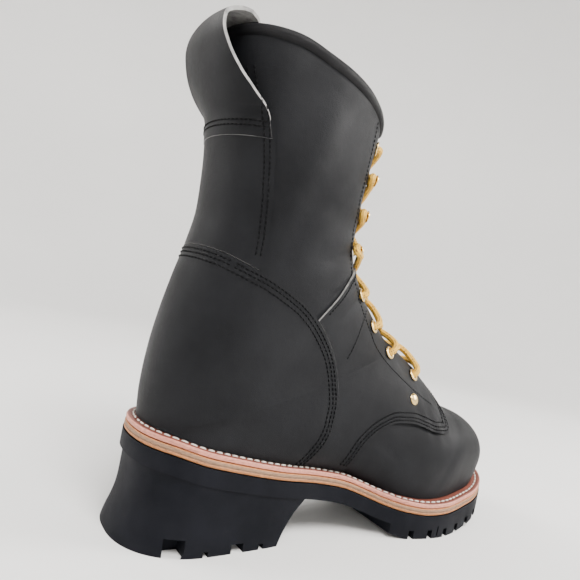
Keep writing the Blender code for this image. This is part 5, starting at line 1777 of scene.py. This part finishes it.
@dataclass
class Lacing:
    """The braided lace, up through the eyelets and round the hooks."""

    bench: Bench
    paint: Palette
    ring_steps: int = 12

    @staticmethod
    def spot(share: float, side: Side, across: float, height: float) -> np.ndarray:
        """Return a point beside the throat, in mm across and above the leather's face."""
        base, out, _ = LAST.facing(share, side, across * MM)
        return np.array(base + out * (Hardware.lift(share) + height * MM))

    def crown(self, share: float, lift: float) -> np.ndarray:
        """Return a point over the tongue's ridge.

        Args:
            share: the share of the way down the throat.
            lift: how far it is raised, in mm.

        Returns:
            The point.
        """
        point = self.spot(share, Side.OUTER, 2.0, 3.0 + lift)
        point[1] = float(LAST.swing(point[0])) * 0.5
        return point

    def way(self, side: Side, lift: float) -> np.ndarray:
        """Return one half of the lace, from the lowest eyelets to the top ones.

        Args:
            side: the side it starts on.
            lift: how far it is raised where it crosses the other half, in mm.

        Returns:
            The points of its centre line.
        """
        rows = EYELETS[::-1] + HOOKS[::-1] + (TOP_EYELET,)
        spot = self.spot
        points = [spot(rows[0], side, 21, -4.0), spot(rows[0], side, 21, 0.5), spot(rows[0], side, 19.5, 3.0)]
        for low, high in zip(rows, rows[1:]):
            other = Side.INNER if side is Side.OUTER else Side.OUTER
            span = low - high
            points += [spot(low - 0.08 * span, side, 14, 3.2), self.crown(0.5 * (low + high), lift)]
            if high in EYELETS:
                points += [spot(high + 0.10 * span, other, 12.5, 0.2), spot(high, other, 17, -5.2),
                           spot(high, other, 21, -3.5), spot(high, other, 21, 0.6),
                           spot(high, other, 19.5, 3.0)]
            elif high in HOOKS:
                points += [spot(high + 0.020, other, 15, 3.0), spot(high + 0.014, other, 21, 2.9),
                           spot(high, other, 26.6, 2.9), spot(high - 0.014, other, 21, 2.9),
                           spot(high - 0.018, other, 16, 3.0)]
            else:
                points += [spot(high + 0.01, other, 15, 3.0), spot(high, other, 19.6, 2.8),
                           spot(high, other, 21, 0.2), spot(high, other, 21, -3.5)]
            side = other
        return np.array(points)

    def tube(self, points: np.ndarray) -> bmesh.types.BMesh:
        """Return a round cord along a smooth curve through points.

        Args:
            points: the points that the cord runs through.

        Returns:
            The cord, with its length along its UV map.
        """
        run = np.concatenate([[0], np.cumsum(np.linalg.norm(np.diff(points, axis=0), axis=1) ** 0.5)])
        at = np.linspace(0, run[-1], len(points) * 14)
        slope = np.gradient(points, run, axis=0)
        low = np.clip(np.searchsorted(run, at, side="right") - 1, 0, len(run) - 2)
        step = (run[low + 1] - run[low])[:, None]
        t = ((at - run[low])[:, None]) / step
        line = (points[low] * (1 + 2 * t) * (1 - t) ** 2 + step * slope[low] * t * (1 - t) ** 2
                + points[low + 1] * t * t * (3 - 2 * t) + step * slope[low + 1] * t * t * (t - 1))
        along = directions(line)
        turn = np.linspace(0, 2 * pi, self.ring_steps + 1)
        up = np.array((0.3, 0.1, 1.0))
        rings = []
        for point, way in zip(line, along):
            across = np.cross(way, up)
            across /= np.linalg.norm(across)
            up = np.cross(across, way)
            circle = np.cos(turn)[:, None] * across + np.sin(turn)[:, None] * up
            rings.append(point + SIZE.lace_radius * circle)
        mesh = grid_mesh(np.array(rings), wrap_columns=True, caps=True)
        length = float(np.linalg.norm(np.diff(line, axis=0), axis=1).sum())
        layer = mesh.loops.layers.uv.active
        for face in mesh.faces:
            for loop in face.loops:
                loop[layer].uv.x *= length
        LOG.info("lace: %.0f mm", length / MM)
        return mesh

    def build(self) -> None:
        """Build both halves of the lace and the bar between the lowest eyelets."""
        low = EYELETS[-1]
        bar = [self.spot(low, side, across, height) for side, across, height in (
            (Side.OUTER, 21, -3.5), (Side.OUTER, 20.5, 1.2), (Side.OUTER, 14, 3.0), (Side.INNER, 14, 3.0),
            (Side.INNER, 20.5, 1.2), (Side.INNER, 21, -3.5))]
        bar.insert(3, self.crown(low, 0.0))
        mesh = self.tube(self.way(Side.OUTER, 2.4))
        for points in (self.way(Side.INNER, 0.0), np.array(bar)):
            join(mesh, self.tube(points))
        self.bench.finish(Bench.raw("lace", mesh), "braided_lace", (self.paint.cord,), "lace_cord",
                          ("laces",), 80)


@dataclass
class Seams:
    """Stitches laid on the finished leather and round the welt."""

    bench: Bench
    paint: Palette
    skins: tuple[str, ...] = ("vamp_and_shaft", "counter", "quarter_leather_outer", "quarter_leather_inner",
                              "back_strap")
    steps: int = 260
    cast: float = 0.2
    least_outward: float = 0.12
    back_turn: float = 1.5
    shaft_middle: float = 0.2
    seat: float = 0.35
    # How far inside the leather's edge the rows lie, in mm
    counter_insets: tuple[float, ...] = (2.2, 4.6, 7.4)
    strap_insets: tuple[float, ...] = (2.4, 4.8)
    vamp_insets: tuple[float, ...] = (1.9, 4.1, 7.0)
    cross_inset: float = 2.4
    loop_heights: tuple[float, ...] = (0.2345, 0.2372)
    # Each row's pitch, the share of it that a stitch covers, and half a stitch's thickness
    coarse: Triple = (2.9 * MM, 0.80, 0.50 * MM)
    vamp: Triple = (2.7 * MM, 0.80, 0.46 * MM)
    cross: Triple = (2.8 * MM, 0.80, 0.46 * MM)
    fine: Triple = (2.7 * MM, 0.74, 0.38 * MM)
    welt: Triple = (5.2 * MM, 0.80, 0.62 * MM)
    welt_inset: float = 4.45 * MM
    welt_height: float = 3.05 * MM

    def __post_init__(self) -> None:
        """Gather the leather's faces for finding the outermost one."""
        verts: list[Vector] = []
        faces: list[list[int]] = []
        for name in self.skins:
            data = bpy.data.objects[name].data
            first = len(verts)
            verts += [vert.co.copy() for vert in data.vertices]
            faces += [[first + k for k in face.vertices] for face in data.polygons]
        self.tree = BVHTree.FromPolygons(verts, faces)
        mesh = bmesh.new()
        bmesh.ops.create_uvsphere(mesh, u_segments=6, v_segments=5, radius=1.0)
        self.grain = np.array([vert.co for vert in mesh.verts])
        self.grain_faces = [tuple(vert.index for vert in face.verts) for face in mesh.faces]
        self.loose: list[np.ndarray] = []
        mesh.free()

    def across(self, line: np.ndarray, side: Side) -> Route:
        """Lay a line of the side view on the leather.

        Args:
            line: places along the sole and heights.
            side: the boot's side that it lies on.

        Returns:
            The points found and the ways out of the leather there.
        """
        found = []
        for x, z in side_curve(line, self.steps):
            start = Vector((x, side.value * self.cast, z)) + self.bench.shift
            spot, out, _, _ = self.tree.ray_cast(start, Vector((0, -side.value, 0)), self.cast)
            if spot is not None and abs(out.y) > self.least_outward:
                found.append((spot, out))
        return np.array([f[0] for f in found]), np.array([f[1] for f in found])

    def round_back(self, line: np.ndarray, limit: float) -> Route:
        """Lay a line of the side view round the back of the shaft.

        Args:
            line: places along the sole and heights.
            limit: the place along the sole that it runs up to.

        Returns:
            The points found and the ways out of the leather there.
        """
        found = []
        for turn in np.linspace(-self.back_turn, self.back_turn, self.steps):
            way = Vector((-cos(turn), sin(turn), 0))
            height, spot = float(line[0, 1]), None
            for _ in range(2):
                middle = Vector((self.shaft_middle * SIZE.sole_length, 0, height)) + self.bench.shift
                spot, out, _, _ = self.tree.ray_cast(middle + way * self.cast, -way, self.cast)
                if spot is None:
                    break
                height = float(np.interp(spot.x - self.bench.shift.x, line[:, 0], line[:, 1]))
            if spot is not None and spot.x - self.bench.shift.x < limit:
                found.append((spot, out))
        return np.array([f[0] for f in found]), np.array([f[1] for f in found])

    def stitch(self, row: Route, pitch: float, share: float, radius: float) -> None:
        """Add stitches along a row of points and ways out.

        Args:
            row: the points and the ways out.
            pitch: the distance from stitch to stitch.
            share: how much of the pitch a stitch covers.
            radius: half a stitch's thickness.
        """
        points, outs = row
        if len(points) < 3:
            return
        run = run_along(points)
        for at in np.arange(0.5 * pitch, run[-1], pitch):
            ends = [np.array([np.interp(at + d * pitch * share / 2, run, points[:, k]) for k in range(3)])
                    for d in (-1, 1)]
            way = ends[1] - ends[0]
            length = float(np.linalg.norm(way))
            if length < 0.3 * pitch * share or length > 1.5 * pitch:
                continue
            out = np.array([np.interp(at, run, outs[:, k]) for k in range(3)])
            over = np.cross(way, out)
            over /= np.linalg.norm(over)
            way /= length
            frame = np.array([over * radius, np.cross(way, over) * radius, way * length / 2])
            centre = 0.5 * (ends[0] + ends[1]) - np.cross(way, over) * radius * self.seat
            self.loose.append(centre + self.grain @ frame)

    def gathered(self, name: str) -> Piece:
        """Return every loose stitch as one piece, and start a new one.

        Args:
            name: the piece's name.

        Returns:
            The piece.
        """
        count = len(self.grain)
        verts = np.concatenate(self.loose)
        faces = [tuple(k + count * number for k in face) for number in range(len(self.loose))
                 for face in self.grain_faces]
        data = bpy.data.meshes.new(name)
        data.from_pydata(verts.tolist(), [], faces)
        piece = bpy.data.objects.new(name, data)
        bpy.context.scene.collection.objects.link(piece)
        self.loose = []
        return piece

    def build_leather_rows(self) -> None:
        """Stitch the counter, the strap, the quarters and the facings."""
        counter = np.array(side_curve(scaled(COUNTER_EDGE)))
        strap, cross = scaled(STRAP_EDGE), scaled(CROSS_SEAM)
        free_edge = strap + [(0.029, 0.250), (0.024, 0.268)]
        for side in Side:
            for inset in self.counter_insets:
                line = beside(counter, -inset * MM)
                self.stitch(self.across(line[line[:, 0] > 0.028], side), *self.coarse)
            for inset in self.strap_insets:
                line = beside(side_curve(free_edge), inset * MM)
                self.stitch(self.across(line[line[:, 1] > 0.166], side), *self.coarse)
            for inset in self.vamp_insets:
                line = beside(side_curve(scaled(VAMP_EDGE)), inset * MM)
                kept = (line[:, 1] > 0.046) & (line[:, 1] < 0.110)
                self.stitch(self.across(line[kept], side), *self.vamp)
            under = beside(side_curve(cross), -self.cross_inset * MM)
            self.stitch(self.across(under[under[:, 0] > 0.094], side), *self.cross)
            for seam in (FACING_SEAM, SECOND_SEAM):
                self.stitch(self.across(np.array(scaled(seam)), side), *self.fine)
        for inset in self.counter_insets:
            self.stitch(self.round_back(beside(counter, -inset * MM), 0.028), *self.coarse)
        for height in self.loop_heights:
            self.stitch(self.round_back(np.array([(0.0, height), (0.1, height)]), 0.031), *self.coarse)
        piece = self.gathered("rows")
        piece.data.transform(Matrix.Translation(-self.bench.shift))
        self.bench.finish(piece, "leather_stitches", (self.paint.dark_thread,), "black_leather", (), 80)

    def build_welt_row(self, sole: Sole) -> None:
        """Stitch the welt through with pale thread.

        Args:
            sole: the sole that the welt belongs to.
        """
        height = SIZE.midsole + 2 * SIZE.clearance + self.welt_height
        points = sole.ring([(self.welt_inset, height)], LAST.sole_top)[:, 0]
        outs = np.tile((0.0, 0.0, 1.0), (len(points), 1))
        self.stitch((points, outs), *self.welt)
        self.bench.finish(self.gathered("welt_rows"), "welt_stitches", (self.paint.pale_thread,), "lace_cord",
                          (), 80)


@dataclass(frozen=True)
class Studio:
    """A pale floor that curves up, soft lights and the photograph's camera."""

    eye: Triple = (-0.2468, -0.2962, 0.1486)
    yaw: float = 55.5
    pitch: float = -1.2
    roll: float = 11.4
    lens: float = 33.2
    shift: tuple[float, float] = (-0.031, 0.036)
    film: float = 36.0
    nearest: float = 0.01
    aim: Triple = (0.0, 0.0, 0.12)
    sky: tuple[float, float, float, float] = (0.93, 0.93, 0.95, 1.0)
    sky_power: float = 0.48
    lights: tuple[tuple[str, Triple, float, float], ...] = (
        ("key", (-0.10, -0.95, 1.55), 46.0, 0.8),
        ("window", (1.15, -0.55, 0.85), 22.0, 0.6),
        ("back", (-1.05, 0.75, 1.1), 20.0, 0.8))

    def build_camera(self) -> None:
        """Stand the camera at the photograph's angle to the boot."""
        yaw, pitch, roll = radians(self.yaw), radians(self.pitch), radians(self.roll)
        forward = Vector((cos(pitch) * cos(yaw), cos(pitch) * sin(yaw), sin(pitch)))
        right = Vector((sin(yaw), -cos(yaw), 0))
        up = right.cross(forward)
        across = right * cos(roll) + up * sin(roll)
        over = up * cos(roll) - right * sin(roll)
        data = bpy.data.cameras.new("camera")
        data.lens, data.sensor_width = self.lens, self.film
        data.shift_x, data.shift_y = self.shift
        data.clip_start = self.nearest
        camera = bpy.data.objects.new("camera", data)
        turn = Matrix((across, over, -forward)).transposed().to_4x4()
        camera.matrix_world = Matrix.Translation(self.eye) @ turn
        bpy.context.scene.collection.objects.link(camera)
        bpy.context.scene.camera = camera

    def build_light(self, name: str, place: Triple, power: float, size: float,
                    colour: Triple = (1.0, 0.98, 0.95)) -> None:
        """Hang one soft light that looks at the boot.

        Args:
            name: its name.
            place: where it hangs.
            power: its power, in watts.
            size: its diameter.
            colour: its colour.
        """
        data = bpy.data.lights.new(name, "AREA")
        data.shape, data.size, data.energy, data.color = "DISK", size, power, colour
        light = bpy.data.objects.new(name, data)
        light.location = place
        aim = Vector(self.aim) - Vector(place)
        light.rotation_mode = "QUATERNION"
        light.rotation_quaternion = aim.to_track_quat("-Z", "Y")
        bpy.context.scene.collection.objects.link(light)

    def build(self) -> None:
        """Build the floor, the world, the lights and the camera."""
        mesh = bmesh.new()
        curve = [(0.0, 0.0), (1.2, 0.0)]
        curve += [(1.2 + 0.8 * sin(t), 0.8 - 0.8 * cos(t)) for t in np.linspace(0.1, pi / 2, 14)]
        curve.append((2.0, 2.6))
        verts = [mesh.verts.new((radius, 0, height)) for radius, height in curve]
        edges = [mesh.edges.new(pair) for pair in zip(verts, verts[1:])]
        bmesh.ops.spin(mesh, geom=verts + edges, cent=(0, 0, 0), axis=(0, 0, 1), dvec=(0, 0, 0), angle=2 * pi,
                       steps=96, use_merge=True, use_duplicate=False)
        bmesh.ops.remove_doubles(mesh, verts=mesh.verts, dist=MERGE)
        bmesh.ops.recalc_face_normals(mesh, faces=mesh.faces)
        bmesh.ops.reverse_faces(mesh, faces=mesh.faces)
        floor = Bench.raw("pale_floor", mesh)
        floor.data.materials.append(Hide("pale_ground", (0.82, 0.815, 0.805), (0.86, 0.855, 0.845), 0.7, 0.8,
                                         300.0, 1.5, 0.00002).make())
        floor.data.shade_smooth()
        world = bpy.data.worlds.new("studio")
        world.use_nodes = True
        world.node_tree.nodes["Background"].inputs["Color"].default_value = self.sky
        world.node_tree.nodes["Background"].inputs["Strength"].default_value = self.sky_power
        bpy.context.scene.world = world
        for light in self.lights:
            self.build_light(*light)
        self.build_camera()


def main() -> None:
    """Load the frame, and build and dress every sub-assembly."""
    logging.basicConfig(level=logging.INFO, format="%(name)s %(message)s")
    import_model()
    Studio().build()
    bench, paint = Bench(), Palette.mix()
    sole = Sole(bench, paint)
    sole.build()
    Uppers(bench, paint).build()
    Hardware(bench, paint).build()
    Lacing(bench, paint).build()
    seams = Seams(bench, paint)
    seams.build_leather_rows()
    seams.build_welt_row(sole)
    insole = bpy.data.objects["insole"]
    for slot in insole.material_slots:
        slot.material = paint.footbed
    LOG.info("%d pieces", len(bench.made))
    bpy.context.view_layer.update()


if __name__ == "__main__":
    main()
